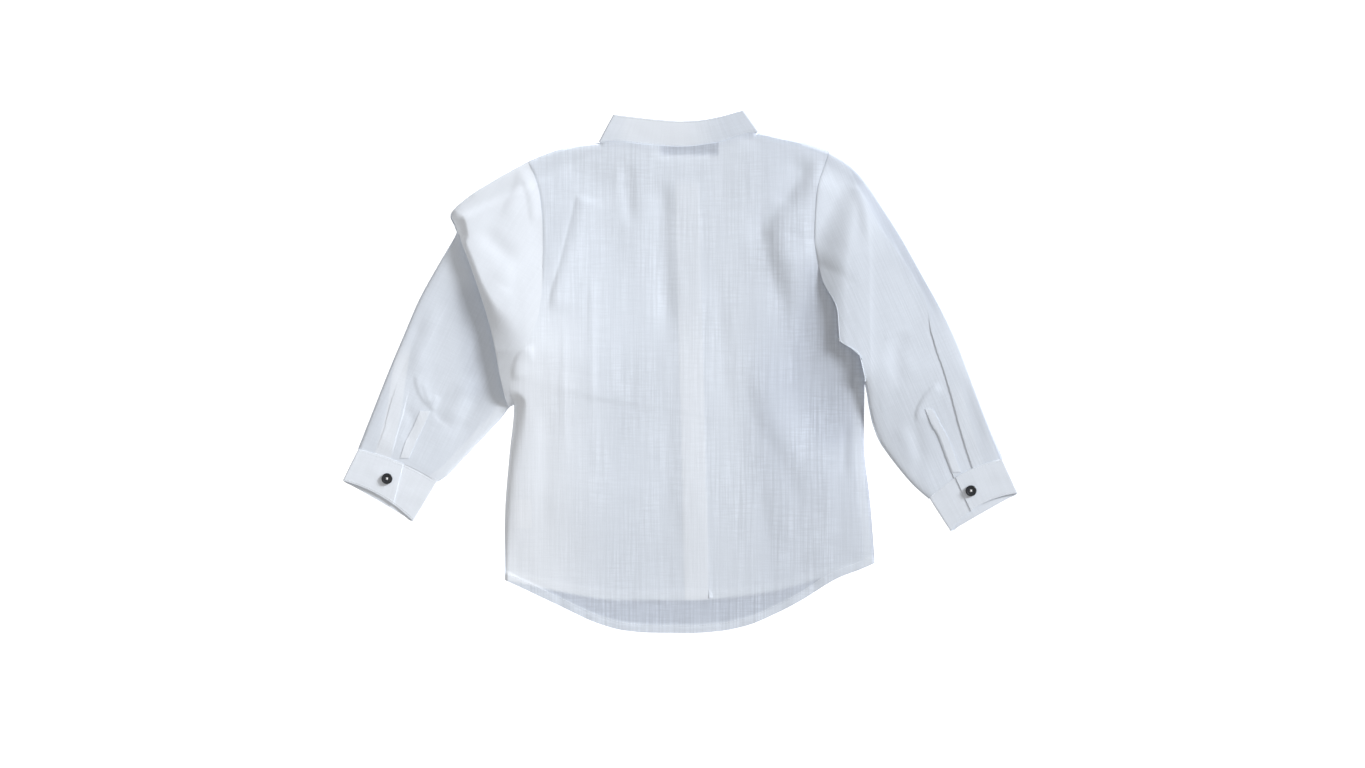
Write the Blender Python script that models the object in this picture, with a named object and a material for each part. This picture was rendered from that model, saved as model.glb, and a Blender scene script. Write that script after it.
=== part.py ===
"""Child's long-sleeve shirt with a band collar, laid flat, face down, back up.

Every cut piece is one closed solid: back, two fronts, button placket, button
stand, band collar, two sleeves, two cuffs, two slit bindings, care label and
the buttons.

Plan tables are in millimetres on one flat grid: e runs to the right (towards
the wearer's right arm), s runs down from the collar to the hem. The point
(E0, S0) of that grid is the origin, the middle of the laid-out shirt, and the
surface that the shirt lies on is z = 0.
"""

import math

import bpy
import numpy as np
from mathutils import Vector
from mathutils.bvhtree import BVHTree

# ------------------------------------------------------------------ sizes, mm
E0, S0 = 680.42, 371.52       # plan point of the origin
WALL = 1.0                   # cloth wall of every panel
SEAM = 0.35                  # clearance between two sewn pieces
LAYER = 1.3                  # underside of the layer that lies on another
PUFF = 3.4                   # air between back and front, away from the edge
EDGE_ROLL = 10.0             # how quickly the cloth rises from its folded edge
BAND_HALF = 12.0             # half width of placket and button stand
BUTTON_D = 11.0              # shirt buttons, 18 line
BUTTON_H = 2.0
ARCH = 2.3                   # height that the buttons hold the placket up
COLLAR_RISE = 2.9            # middle of the collar's back half above z = 0
CUFF_STEP = 2.2              # under end of a cuff above its lower layer
CUFF_LAP = 1.4               # over part of a cuff above its under end

# --------------------------------------------------------- plan tables (e, s)
BACK_HEM = ((505, 580), (556, 604), (600, 624), (640, 632), (690, 633),
            (740, 627), (800, 601), (840, 577), (875, 563))
FRONT_HEM = ((505.6, 578.4), (560, 590), (620, 598.5), (690, 598.5),
             (760, 592), (820, 577), (874.4, 561.4))
# shoulder, back neck seam, shoulder
TOP_LINE = ((529, 161), (546, 154), (563, 148.5), (600, 143), (620, 142.5),
            (645, 145), (680, 147), (715, 143.5), (757.5, 132.8),
            (780, 137), (805, 142.5), (829, 151))
# front neck seam, wearer's left half and right half
NECK_LEFT = ((600, 143), (606, 160), (620, 178), (645, 193), (675, 201))
NECK_RIGHT = ((699, 202), (725, 191), (744, 174), (755, 154), (757.5, 133))
# body edge from the hem up: side seam (rows 0 to 3), then armhole (3 to 12)
LEFT_EDGE = ((505, 580), (505, 520), (509, 460), (514, 405), (510.5, 388),
             (510, 370), (513.5, 357), (527, 343), (540, 310), (543.5, 270),
             (543, 230), (540, 195), (529, 161))
RIGHT_EDGE = ((875, 563), (870.5, 505), (864, 440), (864.5, 383),
              (863.5, 375), (861.5, 366), (857, 352), (839, 341), (836, 310),
              (821, 278), (814, 235), (816, 195), (829, 151))
COLLAR_TOP = ((615, 115), (640, 118), (660, 120), (680, 121.5), (700, 120.5),
              (720, 117), (742, 111))

# sleeve sections from the armhole to the cuff seam:
# outer_e, outer_s, inner_e, inner_s, bow towards the armhole
LEFT_SLEEVE = ((529, 161, 514, 405, 0),
               (498, 178, 512, 405.8, 0),
               (470, 196, 510.5, 406.6, 0),
               (450.5, 216, 509, 407.8, 2),     # crest of the big roll
               (456.5, 232, 507, 410.5, 3),     # foot of the big roll
               (440, 262, 500, 420, 0),
               (420, 298, 486, 435, 0),
               (404, 335, 470, 452, 0),
               (388, 373, 456, 467, 0),
               (373, 411, 447, 476, 0),
               (358, 449, 438, 482, 4))
RIGHT_SLEEVE = ((829, 151, 864.5, 383, 0),
                (848, 163.5, 865.8, 389, 0),
                (868, 184, 867, 395, 0),
                (884, 207, 868, 403, 0),
                (902, 235, 869.8, 413, 0),
                (922, 271, 873, 426, 0),
                (941, 305, 879, 441, 0),
                (957, 338, 888, 454.5, 0),
                (973, 380, 900, 470, 0),
                (988, 420, 914, 486, 0),
                (1003, 459, 929, 499, 7))

# the largest folds of the upper layer:
# name, height, width on the west side, width on the east side, path (e, s)
FOLDS = (
    ("left_sleeve_roll", 9.0, 6.0, 44.0,
     ((455, 219), (470, 250), (482, 285), (488, 318), (501, 342), (506, 372),
      (511, 398))),
    ("right_sleeve_ridge", 8.0, 32.0, 42.0,
     ((857, 187), (864, 215), (867, 280), (869, 330), (869, 366))),
    ("left_armhole_swell", 2.6, 14.0, 20.0,
     ((534, 235), (531, 290), (527, 335))),
    ("left_back_fold", 2.4, 20.0, 5.0,
     ((577, 192), (571, 215), (562, 255), (552, 290), (547, 312))),
    ("right_underarm_hollow", -3.0, 14.0, 18.0,
     ((806, 262), (808, 310), (816, 352), (830, 392))),
    ("right_shoulder_trough", -2.2, 9.0, 16.0,
     ((812, 160), (790, 200), (768, 226), (775, 275), (790, 320))),
    ("placket_trough", -2.4, 9.0, 7.0,
     ((664, 182), (665, 250), (669, 345))),
    ("right_slit_pleat", 2.2, 5.0, 14.0,
     ((927, 310), (936, 352), (950, 395), (965, 448))),
)

# sleeve-slit bindings: west edge e, east edge e, s (from the slit's top down)
LEFT_SLIT = ((420.5, 430.5, 411), (414, 424, 426), (406, 416.5, 441),
             (400.5, 410, 453))
RIGHT_SLIT = ((924.5, 932, 409), (931, 940, 424), (938.5, 948, 438),
              (946, 955.5, 458), (949, 959, 467))
CUFF_BUTTONS = (("cuff_button_left", 387.4, 478.5),
                ("cuff_button_right", 970.6, 490.6))
FRONT_BUTTON_S = (189, 236, 308, 380, 452, 524)   # collar first, then placket
LABEL = (513.8, 531, 500, 528)                    # e from, e to, s from, s to

COLOURS = {
    "cloth": (0.66, 0.70, 0.76), "band": (0.72, 0.76, 0.81),
    "button": (0.012, 0.014, 0.018), "label": (0.80, 0.82, 0.84),
}


# ---------------------------------------------------------------- mathematics
def smooth(x):
    x = np.clip(x, 0.0, 1.0)
    return x * x * (3 - 2 * x)


def curve_at(rows, x, key=0, val=1):
    """Monotone cubic through table rows, val as a function of key."""
    rows = sorted(rows, key=lambda r: r[key])
    xs = np.array([r[key] for r in rows], float)
    ys = np.array([r[val] for r in rows], float)
    h = np.diff(xs)
    d = np.diff(ys) / h
    m = np.zeros(len(xs))
    m[0], m[-1] = d[0], d[-1]
    for k in range(1, len(xs) - 1):
        if d[k - 1] * d[k] > 0:
            w1, w2 = 2 * h[k] + h[k - 1], h[k] + 2 * h[k - 1]
            m[k] = (w1 + w2) / (w1 / d[k - 1] + w2 / d[k])
    x = np.clip(np.asarray(x, float), xs[0], xs[-1])
    k = np.clip(np.searchsorted(xs, x) - 1, 0, len(h) - 1)
    t = (x - xs[k]) / h[k]
    return ((1 + 2 * t) * (1 - t) ** 2 * ys[k] + t * (1 - t) ** 2 * h[k] * m[k]
            + t * t * (3 - 2 * t) * ys[k + 1] + t * t * (t - 1) * h[k] * m[k + 1])


def edge_point(table, row):
    """Point of a body edge at a row number that may be a fraction."""
    s_rows = [r[1] for r in table]
    s = np.interp(row, np.arange(len(table)), s_rows)
    return np.stack([curve_at(table, s, 1, 0), np.asarray(s, float)], -1)


def segment_distance(p, path):
    """Distance, side (+1 east, -1 west) and length fraction on a path."""
    path = np.asarray(path, float)
    seg = np.diff(path, axis=0)
    length = np.hypot(seg[:, 0], seg[:, 1])
    start = np.concatenate([[0], np.cumsum(length)])
    best = np.full(len(p), 1e9)
    side = np.ones(len(p))
    frac = np.zeros(len(p))
    for k in range(len(seg)):
        v = p - path[k]
        t = np.clip((v @ seg[k]) / length[k] ** 2, 0, 1)
        near = v - t[:, None] * seg[k]
        dist = np.hypot(near[:, 0], near[:, 1])
        hit = dist < best
        cross = seg[k][0] * v[:, 1] - seg[k][1] * v[:, 0]
        best = np.where(hit, dist, best)
        side = np.where(hit, np.where(cross < 0, 1, -1), side)
        frac = np.where(hit, (start[k] + t * length[k]) / start[-1], frac)
    return best, side, frac


def placket_middle(s):
    """e of the placket's middle line, which leans a little."""
    return 682.3 + 0.0246 * np.asarray(s, float)


def arch(dx):
    """Height of the placket over its buttons, across its width."""
    return ARCH * np.clip((BAND_HALF - np.abs(dx)) / (BAND_HALF - 6.5), 0, 1)


def silhouette():
    rows = np.linspace(0, 3, 7)
    left, right = edge_point(LEFT_EDGE, rows), edge_point(RIGHT_EDGE, rows)
    shoulder_l = [(e, curve_at(TOP_LINE, e)) for e in (529, 546, 563, 600)]
    shoulder_r = [(e, curve_at(TOP_LINE, e)) for e in (757.5, 780, 805, 829)]
    return (left, right, BACK_HEM, shoulder_l, shoulder_r,
            [r[0:2] for r in LEFT_SLEEVE], [r[2:4] for r in LEFT_SLEEVE],
            [r[0:2] for r in RIGHT_SLEEVE], [r[2:4] for r in RIGHT_SLEEVE])


SILHOUETTE = silhouette()


def upper_height(e, s):
    """Underside of the upper layer (back and sleeve tops) at plan points."""
    shape = np.shape(e)
    p = np.stack([np.ravel(e), np.ravel(s)], -1).astype(float)
    out = np.full(len(p), 1e9)
    for line in SILHOUETTE:
        out = np.minimum(out, segment_distance(p, line)[0])
    z = LAYER + PUFF * (1 - np.exp(-out / EDGE_ROLL))
    edge = smooth(out / 14.0)
    for _, height, west, east, path in FOLDS:
        d, side, frac = segment_distance(p, path)
        w = np.where(side > 0, east, west)
        ends = np.sqrt(np.clip(np.minimum(frac, 1 - frac) * 6, 0.12, 1))
        z = z + height * ends * np.exp(-(d / w) ** 2) * np.maximum(edge, 0.35)
    dx = p[:, 0] - placket_middle(p[:, 1])
    over = (arch(dx) + LAYER + WALL + 0.45) * smooth((p[:, 1] - 150) / 20)
    z = np.where(np.abs(dx) < BAND_HALF + 1.5, np.maximum(z, over), z)
    z = np.maximum(z, LAYER + 0.02)
    below = p[:, 1] - curve_at(FRONT_HEM, p[:, 0])
    drop = np.clip((below - 15.0) / 12.0, 0, 1)
    z = z * (1 - drop) + 0.0 * drop
    return z.reshape(shape)


# ------------------------------------------------------------------- meshing
def material(name, colour, roughness):
    m = bpy.data.materials.new(name)
    m.use_nodes = True
    b = m.node_tree.nodes["Principled BSDF"]
    b.inputs["Base Color"].default_value = (*colour, 1)
    b.inputs["Roughness"].default_value = roughness
    return m


def new_object(name, verts, faces, kind, roughness=0.85, round_shape=True):
    """Object from plan points (e, s, z) in mm."""
    pts = [((e - E0) / 1000, (S0 - s) / 1000, z / 1000) for e, s, z in verts]
    mesh = bpy.data.meshes.new(name)
    mesh.from_pydata(pts, [], faces)
    mesh.validate()
    volume = 0.0
    for f in faces:
        a, b, c = (Vector(pts[f[0]]), Vector(pts[f[1]]), Vector(pts[f[2]]))
        volume += a.dot(b.cross(c)) / 6
    if volume < 0:
        mesh.flip_normals()
    if round_shape:
        mesh.shade_smooth()
        mesh.set_sharp_from_angle(angle=math.radians(50))
    mesh.materials.append(material(name + "_finish", COLOURS[kind], roughness))
    obj = bpy.data.objects.new(name, mesh)
    bpy.context.scene.collection.objects.link(obj)
    return obj


def grid_faces(rows, cols, base, flip, closed=False):
    faces = []
    span = cols if closed else cols - 1
    for j in range(rows - 1):
        for i in range(span):
            a = base + j * cols + i
            b = base + j * cols + (i + 1) % cols
            c, d = b + cols, a + cols
            tris = ((a, b, c), (a, c, d))
            faces += [t[::-1] if flip else t for t in tris]
    return faces


def wall_solid(name, under, over, kind):
    """Closed wall between two grids of plan points (rows, cols, 3)."""
    rows, cols = under.shape[:2]
    n = rows * cols
    faces = grid_faces(rows, cols, 0, False) + grid_faces(rows, cols, n, True)
    rim = ([j * cols for j in range(rows)]
           + [(rows - 1) * cols + i for i in range(1, cols)]
           + [j * cols + cols - 1 for j in range(rows - 2, -1, -1)]
           + [i for i in range(cols - 2, 0, -1)])
    for k, a in enumerate(rim):
        b = rim[(k + 1) % len(rim)]
        faces += [(a, b, b + n), (a, b + n, a + n)]
    verts = np.concatenate([under.reshape(-1, 3), over.reshape(-1, 3)])
    return new_object(name, verts, faces, kind)


def tube_solid(name, outer, inner, kind):
    """Closed wall of a tube; both grids run round in their columns."""
    rows, cols = outer.shape[:2]
    n = rows * cols
    faces = (grid_faces(rows, cols, 0, True, True)
             + grid_faces(rows, cols, n, False, True))
    for j, back in ((0, False), (rows - 1, True)):
        for i in range(cols):
            a, b = j * cols + i, j * cols + (i + 1) % cols
            tris = ((a, b, b + n), (a, b + n, a + n))
            faces += [t[::-1] if back else t for t in tris]
    verts = np.concatenate([outer.reshape(-1, 3), inner.reshape(-1, 3)])
    return new_object(name, verts, faces, kind)


def with_z(plan, z):
    return np.concatenate([plan, np.broadcast_to(
        np.asarray(z, float)[..., None], plan.shape[:2] + (1,))], -1)


def patch(bottom, top, left, right):
    """Coons patch; bottom and top run west to east, sides run hem to top."""
    bottom, top = np.asarray(bottom, float), np.asarray(top, float)
    left, right = np.asarray(left, float), np.asarray(right, float)

    def fractions(line):
        d = np.hypot(*np.diff(line, axis=0).T)
        return np.concatenate([[0], np.cumsum(d)]) / d.sum()
    ub, ut = fractions(bottom), fractions(top)
    v = (fractions(left) + fractions(right)) / 2
    vv = v[:, None, None]
    u = (ub[None, :] * (1 - v[:, None]) + ut[None, :] * v[:, None])[..., None]
    c00, c10, c01, c11 = bottom[0], bottom[-1], top[0], top[-1]
    return ((1 - vv) * bottom[None] + vv * top[None]
            + (1 - u) * left[:, None] + u * right[:, None]
            - ((1 - u) * (1 - vv) * c00 + u * (1 - vv) * c10
               + (1 - u) * vv * c01 + u * vv * c11))


# ------------------------------------------------------------ body row stations
SIDE_ROWS = list(np.linspace(0, 3, 12))[:-1]
ARM_ROWS = [3, 4, 5, 6, 7, 7.5, 8, 8.5, 9, 10, 11, 12]
ROWS = SIDE_ROWS + ARM_ROWS


def back_panel():
    mid_t, mid_b = placket_middle(146), placket_middle(633)
    offs = (-20, -12.5, -6.5, 0, 6.5, 12.5, 20)
    top_e = ([529, 536, 549, 563, 581, 600, 620, 645]
             + [mid_t + o for o in offs]
             + [730, 757.5, 774, 791, 808, 822, 829])
    bot_e = ([505, 513, 530, 549, 570, 592, 615, 645]
             + [mid_b + o for o in offs]
             + [746, 772, 796, 820, 845, 866, 875])
    top = [(e, curve_at(TOP_LINE, e)) for e in top_e]
    bottom = [(e, curve_at(BACK_HEM, e)) for e in bot_e]
    plan = patch(bottom, top, edge_point(LEFT_EDGE, ROWS),
                 edge_point(RIGHT_EDGE, ROWS))
    z = upper_height(plan[..., 0], plan[..., 1])
    wall_solid("back", with_z(plan, z), with_z(plan, z + WALL), "cloth")
    return top


def front_panels():
    left_e = [529, 536, 549, 563, 581]
    top_l = ([(e, curve_at(TOP_LINE, e)) for e in left_e] + list(NECK_LEFT[:-1])
             + [(placket_middle(201) - BAND_HALF - SEAM, 201)])
    bot_l = [(e, curve_at(FRONT_HEM, e)) for e in
             (505.6, 513, 530, 549, 570, 592, 606, 625, 652,
              placket_middle(598) - BAND_HALF - SEAM)]
    right_line = [np.array(bot_l[-1]) + (np.array(top_l[-1]) - bot_l[-1]) * f
                  for f in row_fractions()]
    side = edge_point(LEFT_EDGE, ROWS)
    side[0] = bot_l[0]
    plan = patch(bot_l, top_l, side, right_line)
    flat = np.zeros(plan.shape[:2])
    wall_solid("front_left", with_z(plan, flat), with_z(plan, flat + WALL),
               "cloth")

    right_e = [774, 791, 808, 822, 829]
    top_r = ([(placket_middle(202) + BAND_HALF + SEAM, 202)]
             + [(704, 201.2)] + list(NECK_RIGHT[1:])
             + [(e, curve_at(TOP_LINE, e)) for e in right_e])
    bot_r = [(e, curve_at(FRONT_HEM, e)) for e in
             (placket_middle(598) + BAND_HALF + SEAM, 718, 742, 758, 772, 786,
              800, 822, 845, 866, 874.4)]
    left_line = [np.array(bot_r[0]) + (np.array(top_r[0]) - bot_r[0]) * f
                 for f in row_fractions()]
    side = edge_point(RIGHT_EDGE, ROWS)
    side[0] = bot_r[-1]
    plan = patch(bot_r, top_r, left_line, side)
    dx = plan[..., 0] - placket_middle(plan[..., 1])
    z = LAYER * np.clip((BAND_HALF + 9.0 - dx) / 8.0, 0, 1)
    wall_solid("front_right", with_z(plan, z), with_z(plan, z + WALL), "cloth")


def row_fractions():
    pts = (edge_point(LEFT_EDGE, ROWS) + edge_point(RIGHT_EDGE, ROWS)) / 2
    d = np.hypot(*np.diff(pts, axis=0).T)
    return np.concatenate([[0], np.cumsum(d)]) / d.sum()


def bands():
    """Placket and the button stand above it: flat strips that arch over the
    buttons."""
    across = np.array((-12.0, -6.5, 0.0, 6.5, 12.0))
    for name, lift in (("front_placket", 0.0), ("button_stand", LAYER)):
        plan = []
        for f in np.linspace(0, 1, 15):
            row = []
            for dx in across:
                e_hem = placket_middle(598) + dx
                low = curve_at(FRONT_HEM, e_hem)
                high = 201.5 + 0.04 * dx + 0.2
                s = low + (high - low) * f
                row.append((placket_middle(s) + dx, s))
            plan.append(row)
        plan = np.array(plan)
        z = np.broadcast_to(arch(across) + lift, plan.shape[:2])
        wall_solid(name, with_z(plan, z), with_z(plan, z + WALL), "band")


def sleeve_plan(table, edge, rows, arm_rows):
    """Plan grid of a sleeve: sections along rows, armhole stations across."""
    arm = edge_point(edge, arm_rows)[::-1]          # shoulder to underarm
    d = np.hypot(*np.diff(arm, axis=0).T)
    across = np.concatenate([[0], np.cumsum(d)]) / d.sum()
    t = np.array(table, float)
    index = np.arange(len(t))
    grid = []
    for r in rows:
        oe, os_, ie, is_, bow = (np.interp(r, index, t[:, c]) for c in range(5))
        outer, inner = np.array((oe, os_)), np.array((ie, is_))
        line = outer + (inner - outer) * across[:, None]
        direction = (inner - outer) / np.linalg.norm(inner - outer)
        normal = np.array((direction[1], -direction[0]))
        if normal @ (np.array((t[0, 0], t[0, 1])) - outer) < 0:
            normal = -normal
        line = line + normal * (bow * 4 * across * (1 - across))[:, None]
        fade = max(0.0, 1 - r / 4.2) ** 1.4
        straight = arm[0] + (arm[-1] - arm[0]) * across[:, None]
        grid.append(line + fade * (arm - straight))
    grid = np.array(grid)
    # the seam clearance at the armhole, square to its line
    seg = np.diff(grid[0], axis=0)
    seg /= np.linalg.norm(seg, axis=1)[:, None]
    side = np.stack([-seg[:, 1], seg[:, 0]], -1)
    hand = 1
    if (side * (grid[1] - grid[0])[1:]).sum() < 0:
        side, hand = -side, -1
    before = np.concatenate([side[:1], side])
    after = np.concatenate([side, side[-1:]])
    mitre = before + after
    mitre /= np.maximum((mitre * before).sum(1), 0.6)[:, None]
    turning = before[:, 0] * after[:, 1] - before[:, 1] * after[:, 0]
    corner = 1 + 2.2 * np.clip(-hand * turning, 0, 1)[:, None]
    for row, push in ((0, SEAM + 0.05), (1, 1.6), (2, 1.6), (3, 0.8)):
        grid[row] += mitre * push * (corner if row else 1)
    return grid


def sleeve(name, table, edge):
    rows = (0, 0.5, 1, 2, 2.6, 3, 4, 4.5, 5, 6, 7, 8, 9, 10)
    plan = sleeve_plan(table, edge, rows, ARM_ROWS)
    inset = plan.copy()
    for end, nxt in ((0, 1), (-1, -2)):
        step = plan[:, nxt] - plan[:, end]
        inset[:, end] += step / np.linalg.norm(step, axis=1)[:, None] * WALL
    z_out = upper_height(plan[..., 0], plan[..., 1]) + WALL
    z_in = upper_height(inset[..., 0], inset[..., 1])
    outer = np.concatenate([with_z(plan, z_out),
                            with_z(plan, 0 * z_out)[:, ::-1]], 1)
    inner = np.concatenate([with_z(inset, z_in),
                            with_z(inset, 0 * z_in + WALL)[:, ::-1]], 1)
    return tube_solid(name, outer, inner, "cloth"), plan


def strip_solid(name, stations, kind, half=WALL / 2, across=4):
    """Wall along stations of (seam point, far point, normal), each (e, s, z)."""
    f = np.linspace(0, 1, across)[:, None]
    lower, upper = [], []
    for seam, far, normal in stations:
        line = np.asarray(seam, float) + (np.asarray(far, float)
                                          - np.asarray(seam, float)) * f
        lower.append(line - np.asarray(normal) * half)
        upper.append(line + np.asarray(normal) * half)
    return wall_solid(name, np.array(lower), np.array(upper), kind)


def turn(seam_from, far_from, seam_to, far_to, outward, start, steps=4):
    """Half turn of a wall at a folded edge, between two layers."""
    out = []
    for k in range(1, steps):
        a = math.pi * k / steps
        pts = []
        for p, q in ((seam_from, seam_to), (far_from, far_to)):
            p, q = np.asarray(p, float), np.asarray(q, float)
            middle, radius = (p + q) / 2, abs(q[2] - p[2]) / 2
            up = 1 if q[2] > p[2] else -1
            pts.append(middle + np.array((*(outward * math.sin(a) * radius),
                                          -up * math.cos(a) * radius)))
        n = np.array((*(outward * math.sin(a)), start * math.cos(a)))
        out.append((pts[0], pts[1], n))
    return out


def collar(neck_points):
    """Band collar: under end, right front, back, left front, over end."""
    up, down = np.array((0, 0, 1.0)), np.array((0, 0, -1.0))
    z0, z1 = WALL / 2, COLLAR_RISE
    stations = []

    # seam row and free-edge row of the two front halves, and the height lift
    right = ((690, 201.9, 689, 177), (700, 201.6, 698, 176.5),
             (706, 200.3, 703, 175.5), (725, 191, 713, 168.5),
             (744, 174, 724.5, 157.5), (755, 154, 731, 142))
    left = ((604.5, 155.8, 626, 140), (606, 160, 628, 146.5),
            (620, 178, 638, 161), (645, 193, 654.5, 170),
            (675, 201, 678, 176))

    def shift(es, ef, gap=SEAM):
        es, ef = np.array(es, float), np.array(ef, float)
        v = (ef - es) / np.linalg.norm(ef - es)
        return es + v * gap, ef

    middle = placket_middle(190)
    # under end lies over the over end
    for dx in (-12.0, -6.5, 0.0, 6.5, 12.0):
        e = middle + dx
        seam, far = shift((e, 201.5 + 0.04 * dx), (e + 0.3, 176.8))
        z = arch(np.array(dx)) + z0 + LAYER
        stations.append(((*seam, float(z)), (*far, float(z)), down))
    for k, r in enumerate(right[2:]):
        seam, far = shift(r[0:2], r[2:4])
        z = z0 + (0.9 if k == 0 else 0.0)
        stations.append(((*seam, z), (*far, z), down))
    seam, far = shift((757.5, 132.8), (742, 111))
    stations.append(((seam[0], seam[1], z0), (far[0], far[1], z0), down))
    out = np.array((0.83, -0.56))
    stations += turn((*seam, z0), (*far, z0), (*seam, z1), (*far, z1), out, -1)
    backs = [p for p in neck_points if 600 <= p[0] <= 757.5][::-1]
    for e, s in backs:
        f = (757.5 - e) / 157.5
        te = 742 + (615 - 742) * f
        seam, far = shift((e, s), (te, float(curve_at(COLLAR_TOP, te))))
        z = z1 + 1.1 * math.sin(math.pi * f)
        stations.append(((*seam, z), (*far, z), up))
    seam, far = shift((600, 143), (615, 115))
    out = np.array((-0.88, -0.47))
    stations += turn((*seam, z1), (*far, z1), (*seam, z0), (*far, z0), out, 1)
    stations.append(((*seam, z0), (*far, z0), down))
    for r in left[1:-1]:
        seam, far = shift(r[0:2], r[2:4])
        stations.append(((*seam, z0), (*far, z0), down))
    for dx in (-12.0, -6.5, 0.0, 6.5, 12.0):
        e = middle + dx
        seam, far = shift((e, 201.5 + 0.04 * dx), (e + 0.3, 176.8))
        z = arch(np.array(dx)) + z0
        stations.append(((*seam, float(z)), (*far, float(z)), down))
    strip_solid("collar_band", stations, "band")


def cuff(name, end_row, mouth_outer, mouth_inner, near_bow, over, under):
    """Barrel cuff pressed flat: over part, lower layer, under end.

    end_row is the sleeve's last section in plan; over and under give where
    the two ends lie, as fractions from the outer to the inner edge at the
    seam and at the mouth."""
    end_row = np.asarray(end_row)
    outer, inner = end_row[0], end_row[-1]
    mouth_outer, mouth_inner = np.array(mouth_outer), np.array(mouth_inner)
    along = (mouth_outer + mouth_inner - outer - inner)
    along /= np.linalg.norm(along)
    d = np.hypot(*np.diff(end_row, axis=0).T)
    frac = np.concatenate([[0], np.cumsum(d)]) / d.sum()
    west = (inner - outer) / np.linalg.norm(inner - outer)

    def seam(f):
        return np.array([np.interp(f, frac, end_row[:, c]) for c in (0, 1)]) \
            + along * (SEAM + 0.4)

    def mouth(f, bow):
        return (mouth_outer + (mouth_inner - mouth_outer) * f
                - along * bow * 4 * f * (1 - f))

    z0 = WALL / 2
    z1, z2 = z0 + CUFF_STEP, z0 + CUFF_STEP + CUFF_LAP
    up, down = np.array((0, 0, 1.0)), np.array((0, 0, -1.0))
    edge = 0.03

    def station(fs, fm, level, normal, bow, opening):
        lift = opening * math.sin(math.pi * fm)
        return ((*seam(fs), level + 0.3 * lift), (*mouth(fm, bow), level + lift),
                normal)

    st = []
    for k in range(5):
        g = 1 - k / 4
        st.append(station(edge + (over[0] - edge) * g,
                          edge + (over[1] - edge) * g, z2, up, near_bow, 3.6))
    a, b = st[-1], station(edge, edge, z0, down, 0.5, 0)
    st += turn(a[0], a[1], b[0], b[1], -west, 1)
    for f in [edge] + [x for x in frac[1:-1:2]] + [1 - edge]:
        st.append(station(f, f, z0, down, 0.5, 0))
    a, b = st[-1], station(1 - edge, 1 - edge, z1, up, near_bow, 3.6)
    st += turn(a[0], a[1], b[0], b[1], west, -1)
    for k in range(5):
        g = k / 4
        st.append(station(1 - edge + (under[0] - 1 + edge) * g,
                          1 - edge + (under[1] - 1 + edge) * g,
                          z1, up, near_bow, 3.6))
    return strip_solid(name, st, "band")


def surface_height(obj, e, s):
    """Top of an object at a plan point, in mm."""
    mesh = obj.data
    tree = BVHTree.FromPolygons([v.co for v in mesh.vertices],
                                [p.vertices for p in mesh.polygons])
    hit = tree.ray_cast(Vector(((e - E0) / 1000, (S0 - s) / 1000, 0.1)),
                        Vector((0, 0, -1)))
    return hit[0].z * 1000 if hit[0] is not None else None


def slit_binding(name, table, carrier):
    """Bound edge of the sleeve slit, made from the sleeve's surface."""
    plan, top = [], []
    t = np.array(table, float)
    for r in np.linspace(0, len(t) - 1, 9):
        w, e, s = (np.interp(r, np.arange(len(t)), t[:, c]) for c in range(3))
        plan.append([(w + (e - w) * f, s) for f in (0, 0.34, 0.67, 1)])
    plan = np.array(plan)
    z = np.array([[surface_height(carrier, *p) for p in row] for row in plan])
    z = z + 0.75
    return wall_solid(name, with_z(plan, z), with_z(plan, z + 0.8), "band")


def button(name, e, s, z, face_up=True):
    """Turned shirt button: flat back, rounded rim, sunk middle."""
    r = BUTTON_D / 2
    h = BUTTON_H
    profile = ((0, 0), (0.80 * r, 0), (r, 0.30 * h), (r, 0.72 * h),
               (0.90 * r, h), (0.76 * r, h), (0.64 * r, 0.74 * h),
               (0, 0.74 * h))
    around = 18
    verts, faces = [], []
    for k, (rad, hh) in enumerate(profile):
        hz = z + (hh if face_up else h - hh)
        if rad == 0:
            verts.append((e, s, hz))
            continue
        for i in range(around):
            a = 2 * math.pi * i / around
            verts.append((e + rad * math.cos(a), s + rad * math.sin(a), hz))
    last = len(verts) - 1
    for i in range(around):
        j = (i + 1) % around
        faces.append((0, 1 + i, 1 + j))
        for k in range(len(profile) - 3):
            a, b = 1 + k * around + i, 1 + k * around + j
            faces += [(a, a + around, b + around), (a, b + around, b)]
        base = 1 + (len(profile) - 3) * around
        faces.append((base + i, last, base + j))
    if not face_up:
        faces = [f[::-1] for f in faces]
    return new_object(name, verts, faces, "button", 0.35)


def top_under_disc(obj, e, s, radius):
    pts = [(e, s)] + [(e + radius * f * math.cos(a), s + radius * f * math.sin(a))
                      for f in (0.5, 1.05)
                      for a in np.linspace(0, 2 * math.pi, 24)]
    return max(surface_height(obj, *p) for p in pts)


def label():
    e0, e1, s0, s1 = LABEL
    plan = np.array([[(e, s) for e in (e0, e1)] for s in (s0, s1)], float)
    z = np.full((2, 2), LAYER)
    wall_solid("care_label", with_z(plan, z), with_z(plan, z + 0.8), "label")


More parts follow.
